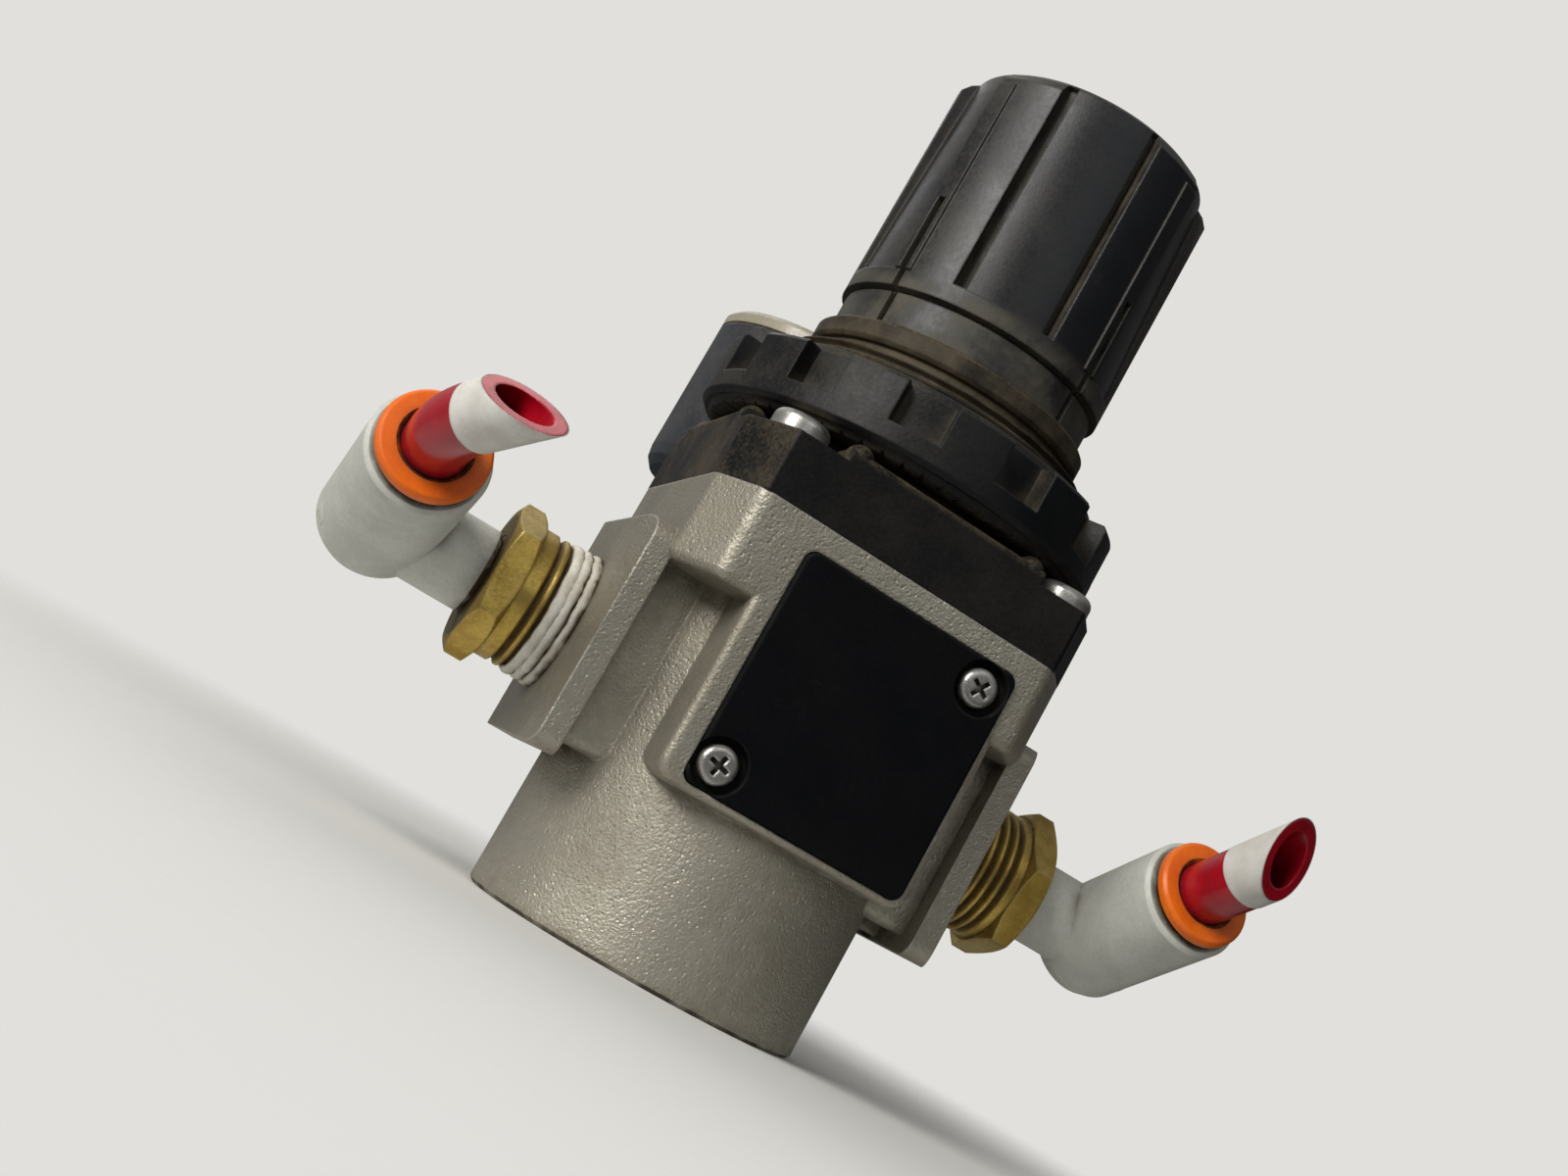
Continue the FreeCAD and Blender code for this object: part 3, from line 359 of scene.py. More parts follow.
@dataclass(frozen=True)
class Finish:
    """One surface finish, the wear it carries, and the painted shade and light that its grime and dust add.

    Attributes:
        name: Name of the material.
        first: Base colour.
        second: Colour that the base drifts to in blotches.
        roughness: Middle roughness of the clean surface.
        rough_drift: How far the blotches move the roughness either way.
        metallic: Metalness where no dirt lies.
        blotch_scale: Blotches per metre.
        grain_scale: Grain per metre.
        grain_depth: Height of the grain, in metres.
        pits: Depth of the pits, as a share of the grain.
        worn: Colour of rubbed edges and scratches.
        wear: Strength of the rubbing on edges.
        wear_scale: Patches of rubbing per metre.
        dust: Colour of settled dust, also painted on faces turned to the light as painted light.
        dust_and_lit_side_amount: Strength of settled dust and of the painted light on lit faces.
        dust_and_lit_side_spread: How far dust and the painted light reach round to upright faces.
        dust_scale: Patches of dust per metre.
        grime_and_shade: Colour of the dirt in corners, also painted as shade wherever ambient occlusion darkens.
        grime_and_shade_amount: Strength of the dirt and painted shade in corners.
        scratch: Strength of fine scratches.
        coat: Weight of a clear coat.
        transmission: Share of light let through.
        subsurface: Share of light scattered inside.
        specular: Strength of the plain reflection.
    """

    name: str
    first: RGB
    second: RGB
    roughness: float
    rough_drift: float = 0.10
    metallic: float = 0.0
    blotch_scale: float = 60.0
    grain_scale: float = 1800.0
    grain_depth: float = 0.00004
    pits: float = 0.3
    worn: RGB = (0.5, 0.5, 0.5)
    wear: float = 0.4
    wear_scale: float = 300.0
    dust: RGB = srgb(128, 118, 100)
    dust_and_lit_side_amount: float = 0.5
    dust_and_lit_side_spread: float = 0.35
    dust_scale: float = 110.0
    grime_and_shade: RGB = srgb(40, 35, 28)
    grime_and_shade_amount: float = 0.5
    scratch: float = 0.3
    coat: float = 0.0
    transmission: float = 0.0
    subsurface: float = 0.0
    specular: float = 0.5

    def place(self, sheet: Sheet, library: EffectLibrary, effect: Effect, **values: float | RGB) -> bpy.types.Node:
        """Puts a shared effect in this material with its own values.

        Args:
            sheet: The material's drawing sheet.
            library: Where the groups come from.
            effect: Which effect.
            values: Input name to value.

        Returns:
            The group node.
        """
        node = sheet.add("Group", node_tree=library.group(effect))
        for name, value in values.items():
            node.inputs[name].default_value = (*value, 1.0) if isinstance(value, tuple) else value
        return node

    def build(self, library: EffectLibrary) -> bpy.types.Material:
        """Makes the material.

        Args:
            library: The shared effects.

        Returns:
            The material.
        """
        material = bpy.data.materials.new(self.name)
        material.use_nodes = True
        material.node_tree.nodes.clear()
        sheet = Sheet(material.node_tree)
        blotches = self.place(sheet, library, Effect.BLOTCHES, First=self.first, Second=self.second,
                              Scale=self.blotch_scale)
        grain = self.place(sheet, library, Effect.GRAIN, Scale=self.grain_scale, Pits=self.pits)
        edge = self.place(sheet, library, Effect.EDGE_WEAR, Amount=self.wear, Scale=self.wear_scale)
        dust = self.place(sheet, library, Effect.DUST_AND_LIT_SIDE, Amount=self.dust_and_lit_side_amount, Scale=self.dust_scale,
                          Spread=self.dust_and_lit_side_spread)
        # Grime follows ambient occlusion: besides dirt, it paints shade into corners, grooves and gaps.
        grime_and_shade = self.place(sheet, library, Effect.GRIME_AND_SHADE, Amount=self.grime_and_shade_amount)
        scratches = self.place(sheet, library, Effect.SCRATCHES, Amount=self.scratch)
        colour = sheet.mix(edge.outputs["Mask"], blotches.outputs["Color"], self.worn)
        colour = sheet.mix(scratches.outputs["Mask"], colour, self.worn)
        colour = sheet.mix(grime_and_shade.outputs["Mask"], colour, self.grime_and_shade)
        colour = self.markings(sheet, colour)
        # Dust also paints faces turned towards the light lighter, so this share is partly painted light.
        dust_and_lit_side_share = self.dust_and_lit_side_mask(sheet, dust.outputs["Mask"])
        colour = sheet.mix(dust_and_lit_side_share, colour, self.dust)
        drift = sheet.math("MULTIPLY", sheet.math("SUBTRACT", blotches.outputs["Value"], 0.5), 2 * self.rough_drift)
        rough = sheet.math("ADD", drift, self.roughness)
        dirt_and_painted_light = sheet.math("MAXIMUM", dust_and_lit_side_share, grime_and_shade.outputs["Mask"])
        rough = sheet.math("ADD", rough, sheet.math("MULTIPLY", dirt_and_painted_light, DIRT_ROUGHNESS - self.roughness), True)
        height = sheet.math("ADD", grain.outputs["Height"], sheet.math("MULTIPLY", dust_and_lit_side_share, DUST_HEIGHT))
        height = sheet.math("SUBTRACT", height, sheet.math("MULTIPLY", scratches.outputs["Mask"], SCRATCH_DEPTH))
        bump = sheet.add("Bump", {"Height": height, "Distance": self.grain_depth, "Strength": 1.0,
                                  "Normal": edge.outputs["Normal"]})
        shader = sheet.add("BsdfPrincipled", {"Base Color": colour, "Roughness": rough,
                                              "Normal": bump.outputs[0], "Coat Weight": self.coat,
                                              "Coat Roughness": COAT_ROUGHNESS, "Specular IOR Level": self.specular,
                                              "Subsurface Weight": self.subsurface,
                                              "Subsurface Scale": SUBSURFACE_REACH, "IOR": PLASTIC_IOR})
        if self.transmission:
            shader.inputs["Transmission Weight"].default_value = self.transmission
        if self.metallic:
            bare = sheet.math("SUBTRACT", 1.0, dirt_and_painted_light, True)
            sheet.tree.links.new(sheet.math("MULTIPLY", bare, self.metallic), shader.inputs["Metallic"])
        out = sheet.add("OutputMaterial")
        sheet.tree.links.new(shader.outputs[0], out.inputs[0])
        return material

    def markings(self, sheet: Sheet, colour: bpy.types.NodeSocket) -> bpy.types.NodeSocket:
        """Colour with this finish's own markings, which a plain finish doesn't have.

        Args:
            sheet: The material's drawing sheet.
            colour: Colour so far.

        Returns:
            The colour with its markings.
        """
        return colour

    def dust_and_lit_side_mask(self, sheet: Sheet, mask: bpy.types.NodeSocket) -> bpy.types.NodeSocket:
        """Where dust lies and where lit faces are painted lighter, which a plain finish leaves to the shared effect.

        Args:
            sheet: The material's drawing sheet.
            mask: Dust settled by the shared effect, with the painted light on faces turned to the light.

        Returns:
            The mask used.
        """
        return mask


@dataclass(frozen=True)
class FilmFinish(Finish):
    """Moulding with a rubbed-on film of dust between two heights.

    Attributes:
        film_low: Height where the film starts.
        film_high: Height where it starts to end.
        film_fade: Height over which it comes and goes.
        film: Strength of the film.
        film_scale: Clouds in the film per metre.
    """

    film_low: float = 95.0 * MM
    film_high: float = 113.0 * MM
    film_fade: float = 3.0 * MM
    film: float = 0.5
    film_scale: float = 130.0

    def dust_and_lit_side_mask(self, sheet: Sheet, mask: bpy.types.NodeSocket) -> bpy.types.NodeSocket:
        """Adds the film to the dust that has settled and the painted light on lit faces.

        Args:
            sheet: The material's drawing sheet.
            mask: Dust settled by the shared effect, with the painted light on faces turned to the light.

        Returns:
            The mask with the film.
        """
        where = sheet.add("TexCoord").outputs["Object"]
        height = sheet.add("SeparateXYZ", {0: where}).outputs["Z"]
        above = sheet.ramp(height, self.film_low, self.film_low + self.film_fade)
        below = sheet.math("SUBTRACT", 1.0, sheet.ramp(height, self.film_high, self.film_high + self.film_fade))
        clouds = sheet.ramp(sheet.noise(where, self.film_scale, 7.0, 0.66), 0.25, 0.75)
        inside = sheet.math("MULTIPLY", above, below)
        film = sheet.math("MULTIPLY", sheet.math("MULTIPLY", inside, clouds), self.film)
        return sheet.math("MAXIMUM", mask, film)


@dataclass(frozen=True)
class ThreadFinish(Finish):
    """Metal thread whose grooves hold dark dirt, told by their distance from the port's axis.

    Attributes:
        crest: Radius of the thread's crests.
        groove: Radius of the bottom of its grooves.
        axis_z: Height of the port's axis.
        dirt: Colour of the dirt in the grooves.
        dirt_share: How much of the metal the dirt hides.
    """

    crest: float = 10.65 * MM
    groove: float = 9.9 * MM
    axis_z: float = 39.8 * MM
    dirt: RGB = srgb(58, 42, 24)
    dirt_share: float = 0.7

    def markings(self, sheet: Sheet, colour: bpy.types.NodeSocket) -> bpy.types.NodeSocket:
        """Darkens the grooves.

        Args:
            sheet: The material's drawing sheet.
            colour: Colour so far.

        Returns:
            The colour with dark grooves.
        """
        where = sheet.add("SeparateXYZ", {0: sheet.add("TexCoord").outputs["Object"]})
        up = sheet.math("SUBTRACT", where.outputs["Z"], self.axis_z)
        square = sheet.math("ADD", sheet.math("MULTIPLY", up, up),
                            sheet.math("MULTIPLY", where.outputs["Y"], where.outputs["Y"]))
        radius = sheet.math("SQRT", square)
        depth = sheet.math("SUBTRACT", 1.0, sheet.ramp(radius, self.groove, self.crest))
        return sheet.mix(sheet.math("MULTIPLY", depth, self.dirt_share), colour, self.dirt)


# Dust colours, also painted onto faces turned towards the light to lighten them.
BLACK_DUST_AND_LIT_SIDE = srgb(92, 84, 70)
BROWN_DUST_AND_LIT_SIDE = srgb(112, 99, 78)
CAST = Finish(
    name="cast_body", first=srgb(166, 162, 149), second=srgb(148, 143, 129),
    roughness=0.38, rough_drift=0.08, metallic=0.75,
    blotch_scale=38.0, grain_scale=2300.0, grain_depth=0.00016, pits=0.45,
    worn=srgb(214, 211, 202), wear=0.65, wear_scale=240.0,
    dust=BROWN_DUST_AND_LIT_SIDE, dust_and_lit_side_amount=0.52, dust_and_lit_side_spread=0.12, dust_scale=60.0,
    grime_and_shade=srgb(66, 58, 44), grime_and_shade_amount=0.80,
)
BLACK_SATIN = FilmFinish(
    name="black_moulding", first=srgb(7, 9, 12), second=srgb(11, 13, 16),
    roughness=0.46, rough_drift=0.06, specular=0.16,
    blotch_scale=80.0, grain_scale=1900.0, grain_depth=0.00005,
    worn=srgb(52, 54, 55), wear=0.35, wear_scale=320.0, scratch=0.12,
    dust=BROWN_DUST_AND_LIT_SIDE, dust_and_lit_side_amount=0.85, dust_and_lit_side_spread=0.0, dust_scale=90.0,
    grime_and_shade=srgb(96, 86, 68), grime_and_shade_amount=0.45,
    film_low=94.0 * MM, film_high=110.0 * MM, film=0.55,
)
PLATE = Finish(
    name="plate_moulding", first=srgb(5, 6, 9), second=srgb(8, 9, 12),
    roughness=0.58, rough_drift=0.05, specular=0.08,
    blotch_scale=120.0, grain_scale=2600.0, grain_depth=0.00008, pits=0.2,
    worn=srgb(60, 60, 60), wear_scale=420.0, scratch=0.08,
    dust=BLACK_DUST_AND_LIT_SIDE, dust_and_lit_side_amount=0.10, dust_and_lit_side_spread=0.05, dust_scale=70.0,
    grime_and_shade=srgb(40, 38, 33), grime_and_shade_amount=0.25,
)
KNOB = FilmFinish(
    name="knob_moulding", first=srgb(8, 10, 15), second=srgb(12, 14, 19),
    roughness=0.34, rough_drift=0.05, specular=0.40,
    blotch_scale=70.0, grain_scale=2200.0, grain_depth=0.00002, pits=0.15,
    worn=srgb(64, 66, 68), wear_scale=320.0, scratch=0.22,
    dust=srgb(98, 92, 79), dust_and_lit_side_amount=0.55, dust_and_lit_side_spread=0.0, dust_scale=80.0,
    grime_and_shade=srgb(84, 77, 63), grime_and_shade_amount=0.60,
    film_low=90.0 * MM, film_high=109.5 * MM, film=0.72,
)
NUT = FilmFinish(
    name="nut_moulding", first=srgb(8, 10, 13), second=srgb(13, 15, 18),
    roughness=0.42, rough_drift=0.07, specular=0.24,
    blotch_scale=90.0, grain_scale=1700.0,
    worn=srgb(66, 67, 66), wear=0.45, scratch=0.20,
    dust=BLACK_DUST_AND_LIT_SIDE, dust_and_lit_side_amount=0.60, dust_and_lit_side_spread=0.0, dust_scale=80.0,
    grime_and_shade=srgb(92, 84, 69),
    film_low=91.5 * MM, film_high=110.0 * MM, film=0.45,
)
BRASS = ThreadFinish(
    name="worn_brass", first=srgb(198, 170, 88), second=srgb(164, 134, 64),
    roughness=0.38, rough_drift=0.12, metallic=0.95,
    blotch_scale=160.0, grain_scale=2400.0, grain_depth=0.00003, pits=0.25,
    worn=srgb(206, 186, 132), wear=0.55, wear_scale=380.0, scratch=0.45,
    dust=srgb(112, 98, 70), dust_and_lit_side_amount=0.35, dust_and_lit_side_spread=0.10, dust_scale=120.0,
    grime_and_shade=srgb(52, 38, 20), grime_and_shade_amount=0.8,
)
PLAIN_BRASS = Finish(
    name="turned_brass", first=srgb(172, 144, 82), second=srgb(144, 116, 62),
    roughness=0.32, metallic=0.95,
    blotch_scale=120.0, grain_scale=2200.0, grain_depth=0.00003, pits=0.2,
    worn=srgb(208, 190, 140), wear=0.5, wear_scale=380.0, scratch=0.4,
    dust=srgb(120, 108, 84), dust_and_lit_side_amount=0.35, dust_and_lit_side_spread=0.15,
    grime_and_shade=srgb(62, 48, 28), grime_and_shade_amount=0.6,
)
ZINC = Finish(
    name="zinc_screws", first=srgb(196, 195, 190), second=srgb(158, 156, 150),
    roughness=0.26, metallic=0.95,
    blotch_scale=300.0, grain_scale=2600.0, grain_depth=0.00002, pits=0.2,
    worn=srgb(232, 231, 226), wear=0.5, wear_scale=500.0, scratch=0.4,
    dust=srgb(116, 104, 84), dust_and_lit_side_amount=0.30, dust_and_lit_side_spread=0.10, dust_scale=260.0,
    grime_and_shade_amount=0.9,
)
STEEL = Finish(
    name="plain_steel", first=srgb(150, 150, 150), second=srgb(118, 118, 120),
    roughness=0.35, rough_drift=0.08, metallic=0.9,
    blotch_scale=120.0, grain_scale=2400.0,
)
ALUMINIUM = Finish(
    name="turned_aluminium", first=srgb(192, 194, 196), second=srgb(166, 168, 171),
    roughness=0.36, rough_drift=0.08, metallic=0.9,
    blotch_scale=120.0, grain_scale=2400.0,
)
RUBBER = Finish(
    name="black_rubber", first=srgb(20, 20, 21), second=srgb(30, 30, 31),
    roughness=0.62, rough_drift=0.08,
    blotch_scale=120.0, grain_scale=2600.0, grain_depth=0.00003,
)
# Elbow, ring and tape carry grime at full strength, so the dark ring where the release ring sits in the barrel is
# painted shade.
ELBOW = Finish(
    name="elbow_moulding", first=srgb(205, 206, 198), second=srgb(188, 189, 181),
    roughness=0.42, specular=0.40,
    blotch_scale=110.0, grain_scale=2000.0,
    worn=srgb(226, 227, 221), wear=0.5, wear_scale=340.0, scratch=0.8,
    dust=srgb(140, 127, 102), dust_and_lit_side_amount=0.45, dust_and_lit_side_spread=0.02, dust_scale=95.0,
    grime_and_shade=srgb(84, 70, 50), grime_and_shade_amount=1.0,
)
ORANGE = Finish(
    name="orange_ring", first=srgb(238, 112, 14), second=srgb(222, 96, 10),
    roughness=0.38, rough_drift=0.08, specular=0.35,
    coat=0.05, subsurface=0.08,
    blotch_scale=200.0, grain_scale=2600.0, grain_depth=0.00003, pits=0.2,
    worn=srgb(248, 156, 78), wear_scale=400.0,
    dust=srgb(150, 104, 60), dust_and_lit_side_amount=0.20, dust_and_lit_side_spread=0.1, dust_scale=140.0,
    grime_and_shade=srgb(52, 26, 12), grime_and_shade_amount=1.0,
)
RED = Finish(
    name="red_tube", first=srgb(176, 10, 34), second=srgb(150, 7, 27),
    roughness=0.22, rough_drift=0.06, specular=0.45,
    coat=0.30, subsurface=0.10,
    blotch_scale=140.0, grain_scale=2000.0, grain_depth=0.00001, pits=0.1,
    worn=srgb(214, 74, 84), wear=0.25, wear_scale=400.0, scratch=0.25,
    dust=srgb(140, 84, 74), dust_and_lit_side_amount=0.14, dust_and_lit_side_spread=0.05, dust_scale=150.0,
    grime_and_shade=srgb(70, 8, 14),
)
BAND = Finish(
    name="white_band", first=srgb(222, 220, 214), second=srgb(205, 201, 193),
    roughness=0.48, rough_drift=0.08,
    blotch_scale=260.0, grain_scale=2200.0, grain_depth=0.00002, pits=0.2,
    worn=srgb(236, 234, 228), wear=0.3, wear_scale=400.0, scratch=0.45,
    dust=srgb(150, 134, 112), dust_and_lit_side_amount=0.30, dust_and_lit_side_spread=0.1, dust_scale=160.0,
    grime_and_shade=srgb(120, 96, 80),
)
TAPE = Finish(
    name="thread_tape", first=srgb(222, 219, 209), second=srgb(198, 193, 178),
    roughness=0.58, rough_drift=0.08,
    blotch_scale=240.0, grain_scale=1500.0, grain_depth=0.00012, pits=0.5,
    worn=srgb(234, 232, 225), wear=0.3, wear_scale=400.0,
    dust=srgb(140, 122, 94), dust_and_lit_side_amount=0.35, dust_and_lit_side_spread=0.1, dust_scale=150.0,
    grime_and_shade=srgb(84, 66, 40), grime_and_shade_amount=1.0,
)
CASE = Finish(
    name="gauge_case", first=srgb(40, 45, 53), second=srgb(30, 35, 43),
    roughness=0.36, specular=0.40,
    blotch_scale=70.0, grain_scale=1500.0, grain_depth=0.00003,
    worn=srgb(92, 96, 102),
    dust=srgb(112, 102, 84), dust_and_lit_side_amount=0.40, dust_and_lit_side_spread=0.15, dust_scale=60.0,
    grime_and_shade=srgb(58, 54, 46),
)
LENS = Finish(
    name="aged_lens", first=srgb(228, 222, 200), second=srgb(208, 200, 174),
    roughness=0.30, rough_drift=0.08,
    coat=0.2, transmission=0.55, subsurface=0.1,
    blotch_scale=90.0, grain_scale=1600.0, grain_depth=0.00002, pits=0.2,
    worn=srgb(240, 236, 222), scratch=0.4,
    dust=srgb(150, 136, 108), dust_and_lit_side_amount=0.45, dust_and_lit_side_spread=0.2, dust_scale=70.0,
    grime_and_shade=srgb(122, 106, 78), grime_and_shade_amount=0.4,
)
DIAL = Finish(
    name="dial_paint", first=srgb(236, 234, 226), second=srgb(226, 222, 210),
    roughness=0.55, rough_drift=0.05,
    grain_depth=0.00001,
)
INK = Finish(
    name="black_paint", first=srgb(20, 20, 22), second=srgb(28, 28, 30),
    roughness=0.5, rough_drift=0.05,
    blotch_scale=90.0, grain_depth=0.00001,
)


class Wardrobe:
    """Makes each finish once and puts it on pieces."""

    def __init__(self) -> None:
        """Starts with no material made."""
        self.library = EffectLibrary()
        self.made: dict[str, bpy.types.Material] = {}

    def dress(self, piece: bpy.types.Object, finish: Finish) -> None:
        """Puts a finish on a piece.

        Args:
            piece: Mesh object.
            finish: Its finish.
        """
        if finish.name not in self.made:
            self.made[finish.name] = finish.build(self.library)
        piece.data.materials.clear()
        piece.data.materials.append(self.made[finish.name])
        log.info("%s dressed in %s", piece.name, finish.name)

    def dress_nodes(self, finishes: dict[str, Finish]) -> None:
        """Puts finishes on CAD nodes.

        Args:
            finishes: Node name to finish.
        """
        for node, finish in finishes.items():
            self.dress(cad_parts[node], finish)


def deselect_all() -> None:
    """Leaves nothing selected, in object mode."""
    if bpy.context.object and bpy.context.object.mode != "OBJECT":
        bpy.ops.object.mode_set(mode="OBJECT")
    bpy.ops.object.select_all(action="DESELECT")


def settle(piece: bpy.types.Object) -> None:
    """Puts a piece's place into its mesh, so that its object sits at the origin.

    Args:
        piece: The finished mesh object.
    """
    deselect_all()
    piece.select_set(True)
    bpy.context.view_layer.objects.active = piece
    bpy.ops.object.transform_apply(location=True, rotation=True, scale=True)


def join(pieces: list[bpy.types.Object], name: str) -> bpy.types.Object:
    """Joins settled pieces into one.

    Args:
        pieces: Mesh objects.
        name: Name of the result.

    Returns:
        The joined object.
    """
    deselect_all()
    for piece in pieces:
        piece.select_set(True)
    bpy.context.view_layer.objects.active = pieces[0]
    bpy.ops.object.join()
    joined = bpy.context.object
    joined.name = name
    return joined


def select_faces(piece: bpy.types.Object, keep: Callable[[Vector, Vector], bool]) -> None:
    """Selects the faces of the piece in edit mode whose centre and normal pass a test.

    Args:
        piece: Mesh object in edit mode.
        keep: Function of a face's centre and normal.
    """
    bpy.ops.mesh.select_all(action="DESELECT")
    bpy.ops.object.mode_set(mode="OBJECT")
    for polygon in piece.data.polygons:
        polygon.select = bool(keep(polygon.center, polygon.normal))
    bpy.ops.object.mode_set(mode="EDIT")
    bpy.ops.mesh.select_mode(type="FACE")


@dataclass
class Casting:
    """The cast body with its cover plate, plug and inner valve."""

    wardrobe: Wardrobe

    def dress(self) -> None:
        """Gives every piece its finish."""
        self.wardrobe.dress_nodes({
            "body_casting": CAST, "cover_plate": PLATE, "cover_plate_screws": ZINC, "cover_plate_seal": RUBBER,
            "bottom_plug": BLACK_SATIN, "bottom_plug_oring": RUBBER, "valve_spring": STEEL,
            "valve_poppet": PLAIN_BRASS, "valve_disc": RUBBER, "diaphragm": RUBBER,
            "diaphragm_upper_plate": ALUMINIUM, "relief_seat": PLAIN_BRASS, "adjusting_spring": STEEL,
            "spring_seat": STEEL,
        })


@dataclass
class Top:
    """Bonnet, panel nut and knob."""

    wardrobe: Wardrobe

    def dress(self) -> None:
        """Gives every piece its finish."""
        self.wardrobe.dress_nodes({
            "bonnet": BLACK_SATIN, "bonnet_screws": ZINC, "panel_nut": NUT, "knob": KNOB,
            "adjusting_screw": STEEL, "thrust_washer": PLAIN_BRASS,
        })


@dataclass
class Fittings:
    """Bushes, elbows, rings and tubes on both ports, with the tape wound on the inlet thread."""

    wardrobe: Wardrobe
    ridge_radius: float = 10.28 * MM
    ridge_size: float = 0.80 * MM
    ridges: tuple[float, ...] = (-35.75 * MM, -37.35 * MM, -39.10 * MM)
    leans: tuple[float, ...] = (0.5, -1.1, 1.3)
    spread: float = 1.22
    crinkle: float = 1.6 * MM
    crinkle_step: float = 0.5 * MM
    ruffle: float = 0.55 * MM
    port_z: float = 39.8 * MM

    def dress(self) -> None:
        """Gives every CAD piece its finish."""
        for side in ("left", "right"):
            self.wardrobe.dress_nodes({
                "reducing_bush_" + side: BRASS, "elbow_stud_" + side: PLAIN_BRASS,
                "elbow_oring_" + side: RUBBER, "elbow_body_" + side: ELBOW, "collet_" + side: STEEL,
                "tube_seal_" + side: RUBBER, "release_ring_" + side: ORANGE, "tube_" + side: RED,
                "tube_band_" + side: BAND,
            })

    def wind_tape(self) -> None:
        """Winds sealing tape over the inlet thread, pressed into ridges by the thread's crests."""
        turns = [self.tape_ridge(index, middle) for index, middle in enumerate(self.ridges)]
        tape = join(turns, "wound_tape")
        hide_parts("thread_tape_left")
        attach(tape, "regulator")
        self.wardrobe.dress(tape, TAPE)

    def tape_ridge(self, index: int, middle: float) -> bpy.types.Object:
        """One crinkled ridge of tape.

        Args:
            index: Which ridge, which sets its lean and crinkle.
            middle: Its place along the port.

        Returns:
            The ridge.
        """
        deselect_all()
        lean = math.radians(self.leans[index])
        bpy.ops.mesh.primitive_torus_add(major_radius=self.ridge_radius, minor_radius=self.ridge_size,
                                         major_segments=220, minor_segments=20,
                                         location=(middle, 0.0, self.port_z), rotation=(0.0, math.pi / 2, lean))
        ridge = bpy.context.object
        ridge.scale = (1.0, 1.0, self.spread)
        settle(ridge)
        crinkle = bpy.data.textures.new("tape_crinkle_%d" % index, "CLOUDS")
        crinkle.noise_scale = self.crinkle + self.crinkle_step * index
        crinkle.noise_depth = 3
        ruffle = ridge.modifiers.new("ruffle", "DISPLACE")
        ruffle.texture = crinkle
        ruffle.strength = self.ruffle
        ruffle.mid_level = 0.6
        bpy.ops.object.modifier_apply(modifier="ruffle")
        bpy.ops.object.shade_smooth_by_angle(angle=math.radians(50))
        return ridge


@dataclass
class Gauge:
    """The rear gauge: case, lens, dial marks and works."""

    wardrobe: Wardrobe
    centre: Vector = field(default_factory=lambda: Vector((-6.9 * MM, 56.6 * MM, 0.0)))
    dial_top: float = 104.7 * MM
    marks: int = 28
    sweep: float = 270.0
    first_angle: float = 225.0
    mark_circle: float = 16.6 * MM
    long_mark: tuple[float, float] = (2.8 * MM, 0.5 * MM)
    short_mark: tuple[float, float] = (1.6 * MM, 0.28 * MM)
    mark_height: float = 0.08 * MM
    mark_bevel: float = 0.05 * MM
    mark_crown: float = 0.02 * MM

    def dress(self) -> None:
        """Gives every CAD piece its finish."""
        self.wardrobe.dress_nodes({
            "gauge_elbow": PLAIN_BRASS, "gauge_socket": PLAIN_BRASS, "gauge_case": CASE, "gauge_lens": LENS,
            "gauge_dial": DIAL, "gauge_pointer": INK, "gauge_pinion": PLAIN_BRASS, "gauge_sector": PLAIN_BRASS,
            "gauge_movement": PLAIN_BRASS, "gauge_bourdon_tube": PLAIN_BRASS,
        })

    def print_marks(self) -> None:
        """Lays the ring of scale marks on the dial, every third one long."""
        marks = [self.mark(index) for index in range(self.marks)]
        ring = join(marks, "dial_marks")
        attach(ring, "regulator")
        self.wardrobe.dress(ring, INK)

    def mark(self, index: int) -> bpy.types.Object:
        """One raised scale mark with softened corners.

        Args:
            index: Place along the scale.

        Returns:
            The mark.
        """
        deselect_all()
        reach, width = self.long_mark if index % 3 == 0 else self.short_mark
        angle = math.radians(self.first_angle - self.sweep * index / (self.marks - 1))
        outward = Vector((math.cos(angle), math.sin(angle), 0.0))
        place = self.centre + outward * (self.mark_circle - reach / 2)
        place.z = self.dial_top + self.mark_height / 2
        bpy.ops.mesh.primitive_cube_add(size=1.0, location=place, rotation=(0.0, 0.0, angle))
        mark = bpy.context.object
        mark.scale = (reach, width, self.mark_height)
        settle(mark)
        bpy.ops.object.mode_set(mode="EDIT")
        select_faces(mark, lambda centre, normal: normal.z > 0.5)
        bpy.ops.mesh.inset(thickness=self.mark_bevel, depth=0.0)
        bpy.ops.transform.translate(value=(0.0, 0.0, self.mark_crown))
        bpy.ops.object.mode_set(mode="OBJECT")
        return mark


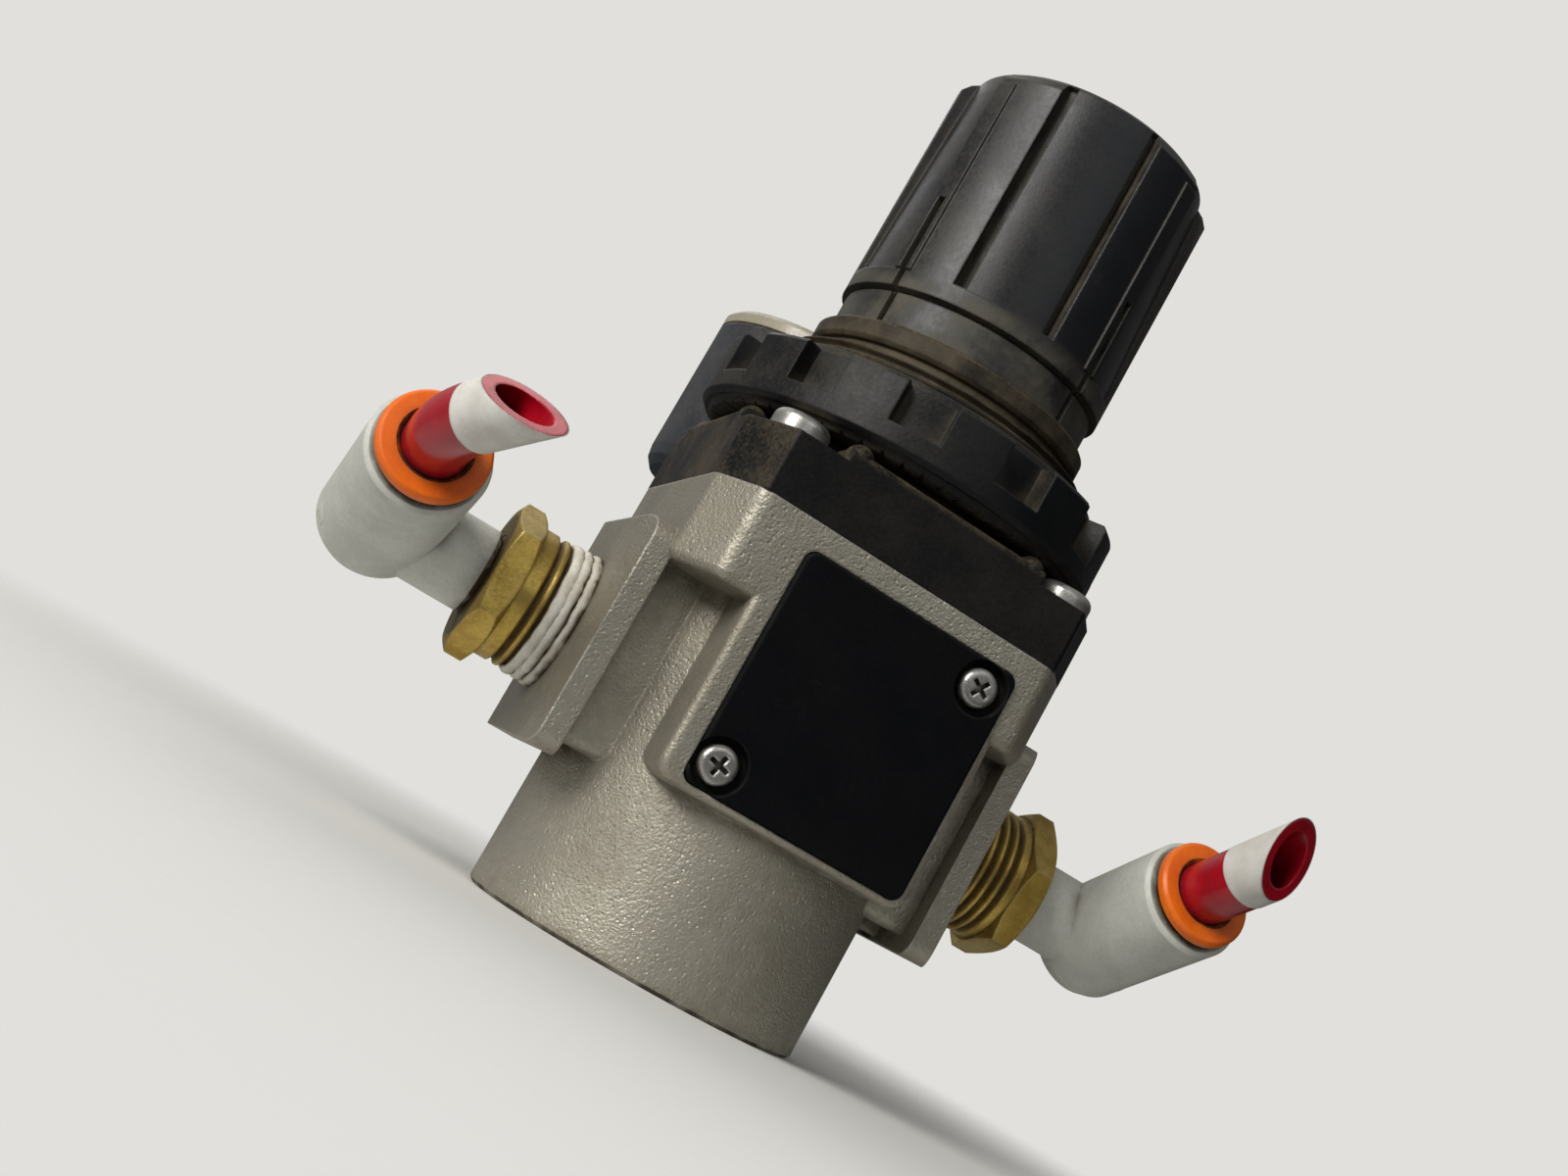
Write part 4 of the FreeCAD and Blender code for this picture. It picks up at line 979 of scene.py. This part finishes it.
@dataclass
class Studio:
    """Camera, lights, pale surroundings and floor."""

    camera_at: Vector = field(default_factory=lambda: Vector((-80.49, -277.03, 17.16)) * MM)
    aim: Vector = field(default_factory=lambda: Vector((-8.07, 0.0, 61.92)) * MM)
    roll: float = 29.59
    lens: float = 42.83
    lamp_target: Vector = field(default_factory=lambda: Vector((0.0, 0.0, 0.07)))
    pale: RGB = srgb(225, 224, 220)
    glow_low: RGB = srgb(26, 26, 25)
    glow_high: RGB = srgb(152, 152, 151)
    glow_lean: RGB = (-0.5, -0.1, 0.86)
    floor_radius: float = 0.9
    floor_first: RGB = srgb(226, 225, 221)
    floor_second: RGB = srgb(221, 220, 216)
    fade_start: float = 0.04
    fade_end: float = 0.24

    def build(self) -> None:
        """Makes the whole studio."""
        self.place_camera()
        self.light()
        self.surround()
        self.lay_floor()

    def place_camera(self) -> None:
        """Puts the camera at its station, turned about its own axis."""
        data = bpy.data.cameras.new("camera")
        data.lens = self.lens
        data.sensor_width = 36.0
        data.clip_start = 0.01
        camera = bpy.data.objects.new("camera", data)
        bpy.context.scene.collection.objects.link(camera)
        forward = (self.aim - self.camera_at).normalized()
        level = forward.cross(Vector((0.0, 0.0, 1.0))).normalized()
        over = level.cross(forward)
        turn = math.radians(self.roll)
        right = level * math.cos(turn) + over * math.sin(turn)
        up = over * math.cos(turn) - level * math.sin(turn)
        matrix = Matrix((right, up, -forward)).transposed().to_4x4()
        matrix.translation = self.camera_at
        camera.matrix_world = matrix
        bpy.context.scene.camera = camera

    def lamp(self, name: str, place: Vector, size: float, power: float, tint: RGB = (1.0, 1.0, 1.0)) -> None:
        """Adds a square soft light aimed at the middle of the object.

        Args:
            name: Name of the light.
            place: Where it hangs, in metres.
            size: Side of the square, in metres.
            power: Watts.
            tint: Its colour.
        """
        data = bpy.data.lights.new(name, "AREA")
        data.shape = "SQUARE"
        data.size = size
        data.energy = power
        data.color = tint
        lamp = bpy.data.objects.new(name, data)
        lamp.location = place
        lamp.rotation_euler = (self.lamp_target - place).to_track_quat("-Z", "Y").to_euler()
        bpy.context.scene.collection.objects.link(lamp)

    def light(self) -> None:
        """Hangs the key, fill and back lights."""
        self.lamp("key_light", Vector((-0.62, -0.40, 0.42)), 0.40, 6.4, (1.0, 0.985, 0.96))
        self.lamp("fill_light", Vector((0.10, -0.80, 0.55)), 0.60, 0.8, (0.96, 0.98, 1.0))
        self.lamp("back_light", Vector((-0.20, 0.62, 0.60)), 0.50, 0.9)

    def surround(self) -> None:
        """Pale surroundings, brighter overhead and on the inlet side."""
        world = bpy.data.worlds.new("surroundings")
        bpy.context.scene.world = world
        world.use_nodes = True
        world.node_tree.nodes.clear()
        sheet = Sheet(world.node_tree)
        where = sheet.add("TexCoord").outputs["Generated"]
        lean = sheet.add("VectorMath", {0: where, 1: self.glow_lean}, operation="DOT_PRODUCT").outputs["Value"]
        glow = sheet.mix(sheet.ramp(lean, -0.7, 0.9), self.glow_low, self.glow_high)
        rays = sheet.add("LightPath").outputs["Is Camera Ray"]
        seen = sheet.mix(rays, glow, self.pale)
        back = sheet.add("Background", {"Color": seen, "Strength": 1.0})
        out = sheet.add("OutputWorld")
        sheet.tree.links.new(back.outputs[0], out.inputs[0])

    def lay_floor(self) -> None:
        """Lays a pale floor that fades out into the surroundings."""
        deselect_all()
        bpy.ops.mesh.primitive_circle_add(vertices=128, radius=self.floor_radius, fill_type="NGON")
        floor = bpy.context.object
        floor.name = "floor"
        material = bpy.data.materials.new("floor_board")
        material.use_nodes = True
        material.node_tree.nodes.clear()
        sheet = Sheet(material.node_tree)
        where = sheet.add("TexCoord").outputs["Object"]
        grain = sheet.noise(where, 400.0, 4.0)
        colour = sheet.mix(grain, self.floor_first, self.floor_second)
        length = sheet.add("VectorMath", {0: where}, operation="LENGTH").outputs["Value"]
        solid = sheet.math("SUBTRACT", 1.0, sheet.ramp(length, self.fade_start, self.fade_end))
        bump = sheet.add("Bump", {"Height": grain, "Distance": 0.00005})
        shader = sheet.add("BsdfPrincipled", {"Base Color": colour, "Roughness": 0.75, "Alpha": solid,
                                              "Normal": bump.outputs[0], "Specular IOR Level": 0.2})
        out = sheet.add("OutputMaterial")
        sheet.tree.links.new(shader.outputs[0], out.inputs[0])
        floor.data.materials.append(material)


def main() -> None:
    """Builds every sub-assembly in order, then the studio."""
    logging.basicConfig(level=logging.INFO, format="%(name)s: %(message)s")
    bpy.context.scene.view_settings.view_transform = "Standard"
    wardrobe = Wardrobe()
    Casting(wardrobe).dress()
    Top(wardrobe).dress()
    fittings = Fittings(wardrobe)
    fittings.dress()
    fittings.wind_tape()
    gauge = Gauge(wardrobe)
    gauge.dress()
    gauge.print_marks()
    Studio().build()


if __name__ == "__main__":
    main()
